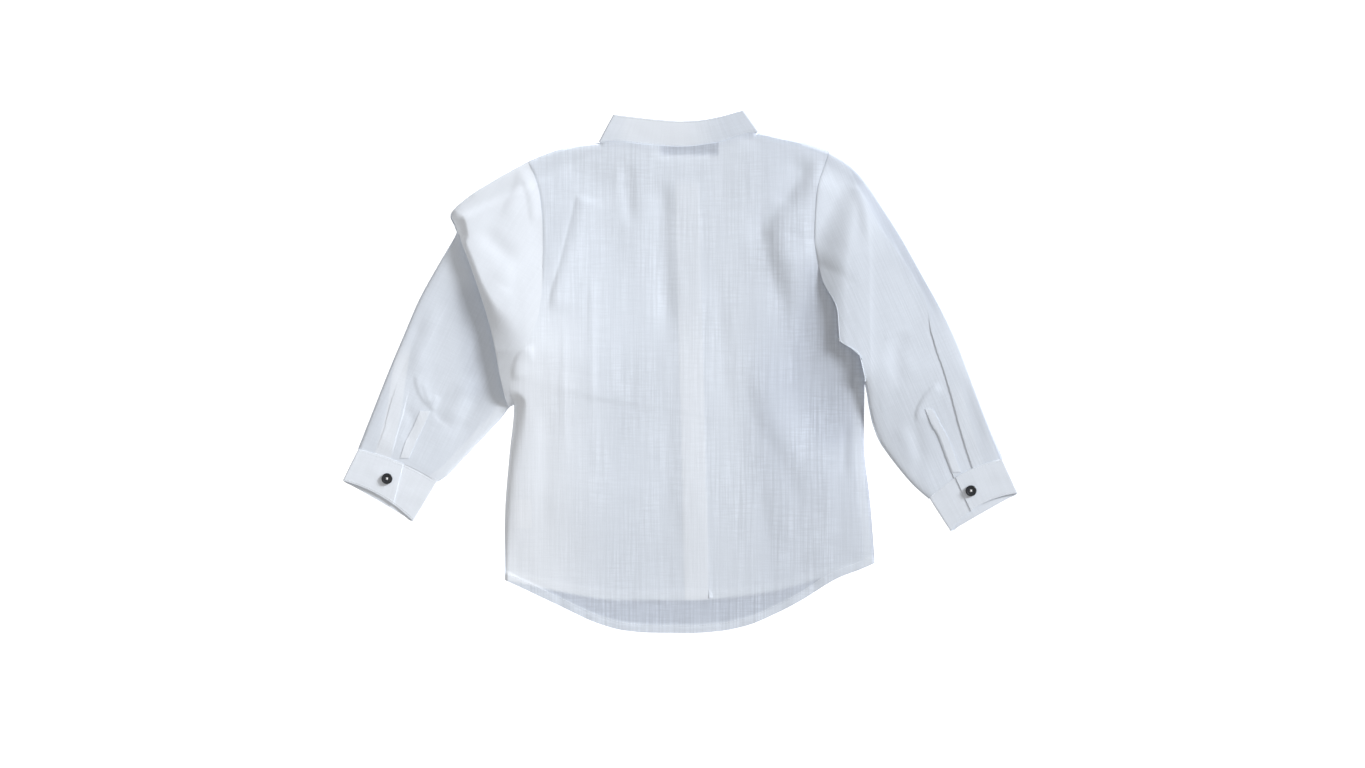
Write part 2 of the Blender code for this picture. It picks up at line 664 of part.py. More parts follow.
def main():
    for obj in list(bpy.data.objects):
        bpy.data.objects.remove(obj, do_unlink=True)
    neck = back_panel()
    front_panels()
    bands()
    collar(neck)
    left, plan_l = sleeve("sleeve_left", LEFT_SLEEVE, LEFT_EDGE)
    right, plan_r = sleeve("sleeve_right", RIGHT_SLEEVE, RIGHT_EDGE)
    cuff_l = cuff("cuff_left", plan_l[-1], (342.4, 480.4), (414, 522), 8.0,
                  (0.55, 0.68), (0.33, 0.42))
    cuff_r = cuff("cuff_right", plan_r[-1], (1018.4, 493), (950, 531.8), 6.0,
                  (0.66, 0.71), (0.42, 0.47))
    slit_binding("sleeve_placket_left", LEFT_SLIT, left)
    slit_binding("sleeve_placket_right", RIGHT_SLIT, right)
    for (name, e, s), carrier in zip(CUFF_BUTTONS, (cuff_l, cuff_r)):
        z = top_under_disc(carrier, e, s, BUTTON_D / 2)
        button(name, e, s, z + 0.3)
    for k, s in enumerate(FRONT_BUTTON_S):
        button(f"front_button_{k + 1}", float(placket_middle(s)), s, 0.0,
               face_up=False)
    label()


main()
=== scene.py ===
"""Looks of the child's band-collar shirt, laid flat, face down, back up.

Plan tables are in millimetres on the same flat grid as the model: e to the
right, s down from the collar to the hem, (E0, S0) at the origin. Every cloth
piece is a thin shell on its solid's form; the creases are placed one by one.
"""

import math

import bpy
import numpy as np
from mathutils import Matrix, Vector


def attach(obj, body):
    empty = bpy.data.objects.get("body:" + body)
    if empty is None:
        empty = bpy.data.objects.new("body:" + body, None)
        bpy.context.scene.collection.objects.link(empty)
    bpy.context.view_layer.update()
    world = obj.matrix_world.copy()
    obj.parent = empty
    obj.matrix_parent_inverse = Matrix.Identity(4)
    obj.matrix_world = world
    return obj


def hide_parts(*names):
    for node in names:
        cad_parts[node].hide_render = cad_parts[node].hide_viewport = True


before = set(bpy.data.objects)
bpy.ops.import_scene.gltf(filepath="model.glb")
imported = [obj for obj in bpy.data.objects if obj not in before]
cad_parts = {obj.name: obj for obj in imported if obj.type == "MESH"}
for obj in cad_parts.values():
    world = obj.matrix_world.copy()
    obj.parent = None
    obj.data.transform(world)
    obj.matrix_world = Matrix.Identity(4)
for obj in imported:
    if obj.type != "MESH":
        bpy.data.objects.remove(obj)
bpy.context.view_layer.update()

# ------------------------------------------------------------------ sizes, mm
E0, S0 = 680.42, 371.52
THICK = 0.42                 # thickness of the shown cloth
BAND_THICK = 0.8             # collar, cuffs and placket are doubled
BAND_HALF = 12.0
BUTTON_D = 11.0
BUTTON_H = 1.7

# --------------------------------------------------------- plan tables (e, s)
BACK_HEM = ((505, 580), (520, 587), (556, 604), (600, 624), (622, 630),
            (650, 632.6), (690, 633), (720, 631), (745, 626), (780, 611.5),
            (800, 601), (840, 577), (860, 569.5), (875, 563))
FRONT_HEM = ((505.6, 578.4), (560, 590), (620, 598.5), (690, 598.5),
             (760, 592), (820, 577), (874.4, 561.4))
TOP_LINE = ((529, 161), (546, 154), (563, 148.5), (600, 143), (620, 142.5),
            (645, 145), (680, 147), (715, 143.5), (757.5, 132.8),
            (780, 137), (805, 142.5), (829, 151))
NECK_LEFT = ((600, 143), (606, 160), (620, 178), (645, 193), (675, 201))
NECK_RIGHT = ((699, 202), (725, 191), (744, 174), (755, 154), (757.5, 133))
LEFT_EDGE = ((505, 580), (505, 520), (509, 460), (514, 405), (510.5, 388),
             (510, 370), (513.5, 357), (527, 343), (540, 310), (543.5, 270),
             (543, 230), (540, 195), (529, 161))
RIGHT_EDGE = ((875, 563), (870.5, 505), (864, 440), (864.5, 383),
              (863.5, 375), (861.5, 366), (857, 352), (839, 341), (836, 310),
              (821, 278), (814, 235), (816, 195), (829, 151))
COLLAR_TOP = ((615, 115), (640, 118), (660, 120), (680, 121.5), (700, 120.5),
              (720, 117), (742, 111))

# sleeve sections: outer_e, outer_s, inner_e, inner_s, bow towards the armhole
LEFT_SLEEVE = ((529, 161, 514, 405, 0),
               (498, 178, 512, 405.8, 0),
               (468, 197, 510.5, 406.6, 0),
               (450.5, 215, 509, 407.8, 4),      # crest of the big roll
               (456.8, 232, 507, 410.5, 3),
               (440, 262, 500, 420, 0),
               (420, 298, 486, 435, 0),
               (404, 335, 470, 452, 0),
               (388, 373, 456, 467, 0),
               (373, 411, 447, 476, 0),
               (358, 449, 438, 482, 4))
RIGHT_SLEEVE = ((829, 151, 864.5, 383, 0),
                (848, 163.5, 865.8, 389, 0),
                (868, 184, 867, 395, 0),
                (884, 207, 868, 403, 0),
                (902, 235, 869.8, 413, 0),
                (922, 271, 873, 426, 0),
                (941, 305, 879, 441, 0),
                (957, 338, 888, 454.5, 0),
                (973, 380, 900, 470, 0),
                (988, 420, 914, 486, 0),
                (1003, 459, 929, 499, 7))

BACK, LSL, RSL = "back", "left", "right"
CAP, LOW = "cap", "low"      # the left sleeve above and below its roll

# folds of the upper layer. kind: swell is a soft ridge or trough, crease is a
# sharp valley from which the cloth rises on the east side, bend the same but
# soft; roll is the folded-over crest of the left sleeve, sized in ROLL.
# Columns: kind, pieces, height, west width, east width, fade-in length,
# fade-out length, path (e, s)
FOLDS = (
    # the big roll of the left sleeve and the swell beside its armhole
    ("roll", (CAP, BACK), 1.0, 1.0, 1.0, 10, 10,
     ((455, 214), (465, 236), (476, 262), (486, 286), (497, 304), (511, 318),
      (520, 332), (525, 348), (524, 366), (520, 388), (518, 408), (517, 440),
      (516, 470))),
    ("swell", (LOW,), -0.9, 24.0, 14.0, 20, 16,
     ((460, 240), (476, 286), (488, 330), (497, 366), (505, 404))),
    ("bend", (CAP,), 0.5, 9.0, 18.0, 16, 8,
     ((488, 319), (500, 310), (512, 301), (518, 292))),
    ("crease", (CAP,), 1.0, 5.0, 14.0, 8, 25,
     ((517, 166), (515, 180), (506, 202), (496, 224))),
    ("crease", (CAP,), 0.7, 4.0, 12.0, 8, 14,
     ((519, 178), (526, 194), (529, 210), (530, 228))),
    ("swell", (CAP,), 0.6, 10.0, 12.0, 20, 20,
     ((490, 262), (505, 276), (517, 284))),
    ("swell", (CAP,), -0.6, 9.0, 9.0, 20, 20,
     ((478, 226), (500, 248), (522, 262))),
    ("swell", (LOW,), 0.3, 26.0, 8.0, 20, 16,
     ((462, 262), (470, 300), (477, 340), (482, 372), (488, 396))),
    # the body curls over the left sleeve at the underarm
    ("crease", (BACK,), 0.8, 1.6, 14.0, 5, 8,
     ((534, 345), (524, 348), (516, 357), (513, 368), (512.5, 382))),
    # the sunken seams of the armholes
    ("swell", (CAP, BACK), -0.32, 9.0, 1.1, 6, 60,
     ((529, 161), (540, 195), (543, 230), (543.5, 270), (540, 300))),
    ("swell", (RSL, BACK), -0.16, 5.0, 1.1, 6, 30,
     ((829, 151), (816, 195), (814, 235), (821, 278))),
    # left of the back
    ("crease", (BACK,), 1.3, 4.0, 20.0, 10, 18,
     ((577.5, 192), (572, 215), (567, 235), (560, 263), (552, 290),
      (547, 314))),
    ("swell", (BACK,), 0.5, 12.0, 4.0, 20, 30,
     ((575, 196), (566, 228), (557, 262), (548, 292))),
    ("swell", (BACK,), -0.5, 14.0, 16.0, 16, 16,
     ((569, 152), (580, 172), (606, 186), (628, 200))),
    ("swell", (BACK,), -0.7, 6.0, 7.0, 20, 26,
     ((627, 158), (628, 190), (630, 232))),
    ("swell", (BACK,), 0.22, 3.0, 3.5, 40, 60, ((565, 312), (564, 400),
                                              (566, 480))),
    ("swell", (BACK,), 0.28, 3.0, 4.0, 40, 60, ((592, 262), (592, 340),
                                              (591, 430))),
    ("swell", (BACK,), -0.3, 8.0, 8.0, 60, 60, ((545, 380), (546, 470),
                                              (541, 560))),
    # middle: the cloth lies on the placket
    ("swell", (BACK,), -1.1, 12.0, 8.0, 26, 60,
     ((662, 176), (663, 215), (665, 270), (668, 348))),
    ("swell", (BACK,), -0.45, 10.0, 8.0, 80, 60, ((722, 250), (722, 330),
                                                (728, 430))),
    ("swell", (BACK,), -0.3, 9.0, 9.0, 60, 60, ((664, 380), (668, 480),
                                              (672, 560))),
    # right of the back
    ("bend", (BACK, RSL), 3.2, 16.0, 40.0, 26, 50,
     ((811, 154), (799, 174), (785, 196), (768, 213), (759, 228),
      (762, 248), (769, 272), (776, 300), (786, 330))),
    ("swell", (BACK,), -1.2, 15.0, 10.0, 20, 26,
     ((812, 158), (798, 178), (784, 198), (772, 214), (767, 230), (768, 250))),
    ("bend", (BACK,), 0.7, 10.0, 24.0, 12, 24,
     ((768, 188), (761, 206), (758, 226), (761, 252))),
    ("swell", (BACK, RSL), 0.3, 10.0, 12.0, 30, 50,
     ((802, 200), (800, 240), (795, 280))),
    ("bend", (BACK,), 1.0, 24.0, 70.0, 40, 60,
     ((808, 262), (803, 300), (800, 345), (806, 385), (818, 425))),
    ("swell", (BACK,), -1.7, 30.0, 36.0, 40, 60,
     ((796, 256), (792, 300), (792, 345), (797, 385), (808, 425), (822, 466))),
    ("bend", (BACK,), 1.3, 16.0, 40.0, 46, 60,
     ((728, 352), (744, 392), (753, 424), (774, 456), (788, 484),
      (795, 530))),
    ("swell", (BACK,), -0.45, 5.0, 5.0, 18, 22, ((846, 418), (845, 450),
                                               (843, 484))),
    ("swell", (BACK,), 0.4, 9.0, 9.0, 40, 40, ((826, 440), (828, 500),
                                             (826, 560))),
    ("swell", (BACK,), -0.4, 12.0, 14.0, 50, 50, ((760, 470), (768, 520),
                                                (764, 590))),
    # neck: the cloth dips behind the collar
    ("swell", (BACK,), -0.8, 7.0, 7.0, 16, 12,
     ((652, 151), (680, 153), (719, 151))),
    ("swell", (BACK,), -0.4, 8.0, 8.0, 16, 16,
     ((736, 142), (750, 140), (772, 146))),
    # right sleeve: the ridge ends in a point; fine creases further down
    ("swell", (RSL,), 0.7, 6.0, 12.0, 6, 30,
     ((857, 184), (860, 196), (865, 215), (868, 250))),
    ("crease", (RSL,), -0.3, 4.0, 16.0, 10, 40,
     ((858, 188), (866, 212), (868.5, 250), (869.5, 330), (871, 392))),
    ("crease", (RSL,), -0.35, 4.0, 30.0, 14, 40,
     ((859, 188), (878, 226), (903, 262), (926, 305), (936, 340))),
    ("swell", (RSL,), -0.45, 8.0, 8.0, 14, 20,
     ((905, 330), (896, 352), (903, 392))),
    ("crease", (RSL,), 0.9, 2.5, 9.0, 8, 10,
     ((938, 381), (928, 389), (920, 399), (915, 410), (914, 424))),
    ("swell", (RSL,), -0.5, 8.0, 7.0, 16, 20,
     ((911, 420), (917, 445), (923, 468))),
    ("swell", (RSL,), 0.4, 8.0, 10.0, 16, 20,
     ((896, 420), (908, 444), (919, 468))),
    ("swell", (RSL,), -0.3, 8.0, 8.0, 20, 20,
     ((962, 372), (974, 410), (985, 448))),
    ("crease", (RSL,), 0.25, 2.0, 5.0, 4, 6,
     ((884, 342), (898, 335), (909, 329))),
    # lower left sleeve: gathers above the slit
    ("crease", (LOW,), 0.6, 2.5, 8.0, 8, 4,
     ((413, 372), (416, 389), (423, 402), (430, 408))),
    ("crease", (LOW,), 0.4, 2.0, 6.0, 6, 4,
     ((421, 382), (425, 396), (430, 406))),
    ("swell", (LOW,), 0.4, 2.0, 3.0, 6, 3, ((438, 394), (434, 403),
                                          (431, 410))),
    ("crease", (LOW,), -0.4, 3.0, 8.0, 6, 16,
     ((431, 411), (438, 421), (455, 431))),
    ("swell", (LOW,), -0.35, 6.0, 5.0, 8, 10,
     ((405, 405), (413, 423), (405, 444))),
    ("swell", (LOW,), 0.7, 10.0, 10.0, 20, 20,
     ((470, 372), (462, 398), (445, 428))),
    ("swell", (LOW,), -0.6, 8.0, 9.0, 20, 20,
     ((483, 388), (470, 412), (452, 440))),
    ("swell", (LOW,), 0.5, 9.0, 9.0, 24, 24,
     ((440, 300), (425, 340), (412, 380))),
    ("swell", (LOW,), -0.4, 9.0, 8.0, 24, 24,
     ((424, 316), (409, 352), (396, 392))),
)

# the big roll: place along its path, height, west width, east reach
ROLL = ((0, 4.4, 9, 115), (0.18, 5.6, 10, 115), (0.34, 7.6, 15, 115),
        (0.43, 8.0, 28, 115), (0.55, 8.0, 36, 110), (0.62, 7.0, 32, 105),
        (0.70, 5.4, 26, 95), (0.78, 3.5, 15, 85), (0.86, 1.8, 10, 75),
        (0.94, 0.6, 10, 65), (1.0, 0.0, 10, 60))

# right sleeve: foot and top of the slope beside the armhole
SLOPE_FOOT = ((846, 180), (833, 202), (821, 225), (812, 250), (804, 272),
              (800, 300), (802, 345), (836, 372), (854, 400))
SLOPE_TOP = ((858, 180), (856, 202), (853, 225), (849, 250), (846, 272),
             (845, 300), (846, 345), (860, 372), (867, 400))

# pressed pleats that run down the sleeves to the cuffs: raised side, height,
# reach of the raised cloth, path (e, s)
RIGHT_PLEATS = (
    (-1, 0.36, 16.0, ((926.7, 309), (929.4, 329), (936, 352), (941.8, 368),
                     (950, 395), (958, 425), (965, 448), (972, 469))),
    (-1, 0.36, 13.0, ((923, 404), (930, 423), (938, 436), (947, 460),
                     (954, 479))),
)
LEFT_PLEATS = (
    (1, 0.22, 12.0, ((399, 378), (390, 405), (384, 430), (376, 452))),
    (-1, 0.22, 10.0, ((410, 385), (403, 415), (397, 435), (391.5, 457))),
)

LEFT_SLIT = ((420.5, 430.5, 411), (414, 424, 426), (406, 416.5, 441),
             (400.5, 409.5, 458))
RIGHT_SLIT = ((924.5, 932, 409), (931, 940, 424), (938.5, 948, 438),
              (946, 955.5, 458), (951, 961, 472))
CUFF_BUTTONS = (("cuff_button_left", 387.4, 478.5),
                ("cuff_button_right", 970.6, 490.6))
FRONT_BUTTON_S = (189, 236, 308, 380, 452, 524)
LABEL = (513.8, 531, 500, 528)


# ---------------------------------------------------------------- mathematics
def smooth(x):
    x = np.clip(x, 0.0, 1.0)
    return x * x * (3 - 2 * x)


def curve_at(rows, x, key=0, val=1):
    """Monotone cubic through table rows."""
    rows = sorted(rows, key=lambda r: r[key])
    xs = np.array([r[key] for r in rows], float)
    ys = np.array([r[val] for r in rows], float)
    h = np.diff(xs)
    d = np.diff(ys) / h
    m = np.zeros(len(xs))
    m[0], m[-1] = d[0], d[-1]
    for k in range(1, len(xs) - 1):
        if d[k - 1] * d[k] > 0:
            w1, w2 = 2 * h[k] + h[k - 1], h[k] + 2 * h[k - 1]
            m[k] = (w1 + w2) / (w1 / d[k - 1] + w2 / d[k])
    x = np.clip(np.asarray(x, float), xs[0], xs[-1])
    k = np.clip(np.searchsorted(xs, x) - 1, 0, len(h) - 1)
    t = (x - xs[k]) / h[k]
    return ((1 + 2 * t) * (1 - t) ** 2 * ys[k] + t * (1 - t) ** 2 * h[k] * m[k]
            + t * t * (3 - 2 * t) * ys[k + 1] + t * t * (t - 1) * h[k] * m[k + 1])


def spline(points, n):
    """n points, evenly spaced, on a smooth curve through a few points."""
    p = np.asarray(points, float)
    if len(p) == 2:
        return p[0] + (p[1] - p[0]) * np.linspace(0, 1, n)[:, None]
    d = np.concatenate([[0], np.cumsum(np.hypot(*np.diff(p[:, :2], axis=0).T))])
    tan = np.gradient(p, d, axis=0)
    t = np.linspace(0, d[-1], max(n, 120))
    k = np.clip(np.searchsorted(d, t) - 1, 0, len(d) - 2)
    h = (d[k + 1] - d[k])[:, None]
    u = ((t - d[k])[:, None]) / h
    q = ((1 + 2 * u) * (1 - u) ** 2 * p[k] + u * (1 - u) ** 2 * h * tan[k]
         + u * u * (3 - 2 * u) * p[k + 1] + u * u * (u - 1) * h * tan[k + 1])
    dq = np.concatenate([[0], np.cumsum(np.hypot(*np.diff(q[:, :2], axis=0).T))])
    want = np.linspace(0, dq[-1], n)
    return np.stack([np.interp(want, dq, q[:, c]) for c in range(p.shape[1])],
                    -1)


def path_distance(p, path, samples=0):
    """Distance, side (+1 east, -1 west), length along, total length."""
    path = spline(path, samples) if samples else np.asarray(path, float)
    seg = np.diff(path, axis=0)
    length = np.hypot(seg[:, 0], seg[:, 1])
    start = np.concatenate([[0], np.cumsum(length)])
    best = np.full(len(p), 1e9)
    side = np.ones(len(p))
    along = np.zeros(len(p))
    for k in range(len(seg)):
        v = p - path[k]
        t = np.clip((v @ seg[k]) / length[k] ** 2, 0, 1)
        near = v - t[:, None] * seg[k]
        dist = np.hypot(near[:, 0], near[:, 1])
        hit = dist < best
        cross = seg[k][0] * v[:, 1] - seg[k][1] * v[:, 0]
        best = np.where(hit, dist, best)
        side = np.where(hit, np.where(cross < 0, 1, -1), side)
        along = np.where(hit, start[k] + t * length[k], along)
    return best, side, along, start[-1]


def lattice(seed, x, y):
    """Smooth value noise from -1 to 1."""
    xi, yi = np.floor(x).astype(np.int64), np.floor(y).astype(np.int64)
    fx, fy = smooth(x - xi), smooth(y - yi)

    def corner(a, b):
        n = (a * 374761393 + b * 668265263 + seed * 1442695041) & 0x7fffffff
        n = (n ^ (n >> 13)) * 1274126177 & 0x7fffffff
        return ((n ^ (n >> 16)) & 0xffff) / 32767.5 - 1
    top = corner(xi, yi) * (1 - fx) + corner(xi + 1, yi) * fx
    low = corner(xi, yi + 1) * (1 - fx) + corner(xi + 1, yi + 1) * fx
    return top * (1 - fy) + low * fy


def edge_point(table, row):
    s_rows = [r[1] for r in table]
    s = np.interp(row, np.arange(len(table)), s_rows)
    return np.stack([curve_at(table, s, 1, 0), np.asarray(s, float)], -1)


def placket_middle(s):
    return 682.3 + 0.0246 * np.asarray(s, float)


def silhouette(hem):
    rows = np.linspace(0, 3, 13)
    out = [edge_point(LEFT_EDGE, rows), edge_point(RIGHT_EDGE, rows),
           [(e, curve_at(TOP_LINE, e)) for e in np.linspace(529, 600, 9)],
           [(e, curve_at(TOP_LINE, e)) for e in np.linspace(757.5, 829, 9)]]
    for t in (LEFT_SLEEVE, RIGHT_SLEEVE):
        out += [spline([r[0:2] for r in t], 40), spline([r[2:4] for r in t], 24)]
    if hem:
        out.append([(e, curve_at(BACK_HEM, e)) for e in np.linspace(505, 875, 40)])
    return out


ALL_EDGES, FOLDED_EDGES = silhouette(True), silhouette(False)


def nearest(p, lines):
    out = np.full(len(p), 1e9)
    for line in lines:
        out = np.minimum(out, path_distance(p, line)[0])
    return out


def upper(e, s, piece):
    """Top side of the upper layer at plan points, for one piece."""
    shape = np.shape(e)
    p = np.stack([np.ravel(e), np.ravel(s)], -1).astype(float)
    out, folded = nearest(p, ALL_EDGES), nearest(p, FOLDED_EDGES)
    x, y = p[:, 0], p[:, 1]
    if piece == BACK:
        over_hem = smooth((curve_at(FRONT_HEM, x) - y + 4) / 120)
        thin = smooth((x - 770) / 70)
        puff = (0.1 + 3.3 * over_hem) * (1 - 0.42 * thin)
        crown = 1 - smooth((y - curve_at(TOP_LINE, x) - 10) / 30)
        crown = crown * smooth((x - 529) / 40)
        run = (4 + 9 * thin) * (1 - crown) + 1.3 * crown
        base = 1 - over_hem
    else:
        puff, run = {RSL: (0.9, 3), CAP: (3.4, 5), LOW: (1.2, 4)}[piece]
        thin = 1.0 if piece == RSL else 0.0
        base = 0.0
    z = 1.6 - 0.45 * np.maximum(thin, base) + puff * (1 - np.exp(-out / run))
    if piece == RSL:
        foot = curve_at(SLOPE_FOOT, y, 1, 0)
        top = curve_at(SLOPE_TOP, y, 1, 0)
        high = 7.6 * smooth((y - 168) / 92) * smooth((472 - y) / 110)
        reach = 96.0
        side = path_distance(p, spline([r[0:2] for r in RIGHT_SLEEVE], 40))[0]
        z = z + high * (smooth((x - foot) / (top - foot))
                        * (1 - 0.32 * smooth((x - top) / reach))
                        * (1 - np.exp(-(side / 1.5) ** 2)))
    rim = np.clip(out / 12.0, 0.0, 1.0) ** 0.8
    for kind, who, height, west, east, fade_in, fade_out, path in FOLDS:
        if piece not in who:
            continue
        d, side, along, total = path_distance(p, path,
                                               90 if kind == "roll" else 24)
        fade = smooth((along + 0.001) / fade_in) * smooth((total - along)
                                                         / fade_out)
        # past the ends of the path the fold dies away
        if kind == "swell":
            w = np.where(side > 0, east, west)
            dz = height * np.exp(-(d / w) ** 2) * fade
        elif kind == "roll":
            f = along / total
            h = curve_at(ROLL, f, 0, 1)
            u = d / curve_at(ROLL, f, 0, 3)
            u = np.sqrt(u * u + 0.01) - 0.1
            ramp = 0.5 * (1 - u + np.sqrt((1 - u) ** 2 + 0.08))
            dz = h * np.where(side > 0, ramp / 1.02,
                              np.exp(-(d / curve_at(ROLL, f, 0, 2)) ** 2))
            dz = dz * smooth((along + 0.001) / fade_in)
        elif kind == "bend":
            rise = (1 - np.exp(-(d / west) ** 2)) * np.exp(-(d / east) ** 2)
            dz = height * np.where(side > 0, rise, 0.0) * fade
        else:
            rise = (1 - np.exp(-d / west)) * np.exp(-(d / east) ** 2)
            dz = height * np.where(side > 0, rise, 0.0) * fade
        z = z + dz * np.maximum(rim, 0.15)
    # broad, uneven undulation and small wrinkles, longer down the grain
    z = z + rim * (0.32 * lattice(3, x / 46, y / 120)
                   + 0.13 * lattice(8, x / 19, y / 62)
                   + 0.05 * lattice(5, x / 8.5, y / 25)
                   + 0.03 * lattice(11, x / 24, y / 7.5))
    if piece == BACK:
        dx = x - placket_middle(y)
        on = smooth((y - 176) / 16) * smooth((602 - y) / 6)
        z = z + on * 0.12 * (smooth((dx + 14.5) / 4.5)
                             * smooth((14.5 - dx) / 4.5))
        below = y - curve_at(FRONT_HEM, x)
        drop = smooth((below + 0.5) / 6.5)
        z = z * (1 - drop) + (1.10 + 0.25 * lattice(17, x / 21, y / 40)
                              + 0.10 * lattice(19, x / 7, y / 30)) * drop
        hem = curve_at(BACK_HEM, x) - y
        turned = smooth((8.6 - hem) / 0.9)
        z = z + 0.32 * turned + 0.22 * lattice(23, x / 11, y / 60) * turned
        front_turn = smooth((below + 8.4) / 1.2) * (1 - drop)
        z = z + 0.08 * front_turn
    # the pressed edge rolls down to the lower layer
    t = np.clip(folded / (2.4 - 1.0 * thin), 0, 1)
    z = 0.62 + (np.maximum(z, 0.75) - 0.62) * np.sqrt(1 - (1 - t) ** 2)
    return z.reshape(shape)


# ------------------------------------------------------------------- meshing
def to_metres(v):
    return np.stack([(v[..., 0] - E0) / 1000, (S0 - v[..., 1]) / 1000,
                     v[..., 2] / 1000], -1)


def mesh_object(name, verts, quads, uv=None, fields=None, sharp=40):
    """Mesh from plan points (e, s, z) in mm and quads, with a UV per vertex."""
    co = to_metres(np.asarray(verts, float))
    quads = np.asarray(quads, np.int32)
    mesh = bpy.data.meshes.new(name)
    mesh.vertices.add(len(co))
    mesh.vertices.foreach_set("co", co.astype(np.float32).ravel())
    mesh.loops.add(quads.size)
    mesh.loops.foreach_set("vertex_index", quads.ravel())
    n = quads.shape[1]
    mesh.polygons.add(len(quads))
    mesh.polygons.foreach_set("loop_start",
                              np.arange(0, quads.size, n, dtype=np.int32))
    mesh.update(calc_edges=True)
    mesh.validate()
    mesh.shade_smooth()
    if sharp:
        mesh.set_sharp_from_angle(angle=math.radians(sharp))
    if uv is not None:
        layer = mesh.uv_layers.new(name="Grain")
        layer.data.foreach_set("uv", (np.asarray(uv, float)[quads.ravel()]
                                      / 1000).astype(np.float32).ravel())
    for key, values in (fields or {}).items():
        a = mesh.attributes.new(key, "FLOAT", "POINT")
        a.data.foreach_set("value", np.asarray(values, np.float32).ravel())
    obj = bpy.data.objects.new(name, mesh)
    bpy.context.scene.collection.objects.link(obj)
    return obj


def grid_quads(rows, cols, base=0):
    a = (np.arange(rows - 1)[:, None] * cols + np.arange(cols - 1)[None]
         ).ravel() + base
    return np.stack([a, a + 1, a + 1 + cols, a + cols], -1)


def rim_quads(rows, cols, n, base=0):
    rim = np.array([j * cols for j in range(rows)]
                   + [(rows - 1) * cols + i for i in range(1, cols)]
                   + [j * cols + cols - 1 for j in range(rows - 2, -1, -1)]
                   + [i for i in range(cols - 2, 0, -1)]) + base
    b = np.roll(rim, -1)
    return np.stack([rim, b, b + n, rim + n], -1)


def grid_normals(g):
    """Unit normals of a plan grid, pointing up where the cloth is flat."""
    m = g * np.array((1, -1, 1.0))
    n = np.cross(np.gradient(m, axis=1), np.gradient(m, axis=0))
    n /= np.maximum(np.linalg.norm(n, axis=-1), 1e-9)[..., None]
    if n[..., 2].sum() < 0:
        n = -n
    return n * np.array((1, -1, 1.0))


def shell_parts(grid, thick, uv, fields, base=0, normal=None):
    """Closed thin shell under a grid: verts, quads, uv, fields."""
    rows, cols = grid.shape[:2]
    n = rows * cols
    up = grid_normals(grid) if normal is None else normal
    under = grid - up * thick
    verts = np.concatenate([grid.reshape(-1, 3), under.reshape(-1, 3)])
    top, low = grid_quads(rows, cols, base), grid_quads(rows, cols, base + n)
    # turn the shell the right way out
    m = grid * np.array((1, -1, 1.0))
    face = np.cross(m[:-1, 1:] - m[:-1, :-1], m[1:, :-1] - m[:-1, :-1])
    way = (face * (up[:-1, :-1] * np.array((1, -1, 1.0)))).sum() > 0
    rim = rim_quads(rows, cols, n, base)
    if way:
        quads = np.concatenate([top, low[:, ::-1], rim[:, ::-1]])
        quads[len(top) + len(low):] = rim[:, ::-1]
    else:
        quads = np.concatenate([top[:, ::-1], low, rim])
    uvs = np.concatenate([uv.reshape(-1, 2)] * 2)
    out = {k: np.concatenate([np.ravel(v)] * 2) for k, v in fields.items()}
    return verts, quads, uvs, out


def shell(name, layers, sharp=40):
    """One object from several shells: (grid, thick, uv, fields[, normal])."""
    verts, quads, uvs, fields, base = [], [], [], {}, 0
    for layer in layers:
        grid, thick, uv, field = layer[:4]
        amount = 0.40 if "sleeve" in name else 1.0
        field = {"weave": np.full(grid.shape[:2], amount), **field}
        normal = layer[4] if len(layer) > 4 else None
        v, q, u, f = shell_parts(grid, thick, uv, field, base, normal)
        verts.append(v)
        quads.append(q)
        uvs.append(u)
        for k, x in f.items():
            fields.setdefault(k, []).append(x)
        base += len(v)
    return mesh_object(name, np.concatenate(verts), np.concatenate(quads),
                       np.concatenate(uvs),
                       {k: np.concatenate(x) for k, x in fields.items()}, sharp)


def patch(bottom, top, left, right):
    bottom, top = np.asarray(bottom, float), np.asarray(top, float)
    left, right = np.asarray(left, float), np.asarray(right, float)

    def fractions(line):
        d = np.hypot(*np.diff(line, axis=0).T)
        return np.concatenate([[0], np.cumsum(d)]) / d.sum()
    ub, ut = fractions(bottom), fractions(top)
    v = (fractions(left) + fractions(right)) / 2
    vv = v[:, None, None]
    u = (ub[None, :] * (1 - v[:, None]) + ut[None, :] * v[:, None])[..., None]
    c00, c10, c01, c11 = bottom[0], bottom[-1], top[0], top[-1]
    return ((1 - vv) * bottom[None] + vv * top[None]
            + (1 - u) * left[:, None] + u * right[:, None]
            - ((1 - u) * (1 - vv) * c00 + u * (1 - vv) * c10
               + (1 - u) * vv * c01 + u * vv * c11))


def with_z(plan, z):
    return np.concatenate([plan, np.broadcast_to(
        np.asarray(z, float)[..., None], plan.shape[:2] + (1,))], -1)


# ------------------------------------------------------------------ the cloth
def row_numbers(n_side, n_arm):
    """Row numbers of the body edge, spaced by the length of the edge."""
    def spaced(a, b, n):
        r = np.linspace(a, b, 240)
        p = (edge_point(LEFT_EDGE, r) + edge_point(RIGHT_EDGE, r)) / 2
        d = np.concatenate([[0], np.cumsum(np.hypot(*np.diff(p, axis=0).T))])
        return np.interp(np.linspace(0, d[-1], n + 1), d, r)
    return np.concatenate([spaced(0, 3, n_side)[:-1], spaced(3, 12, n_arm)])


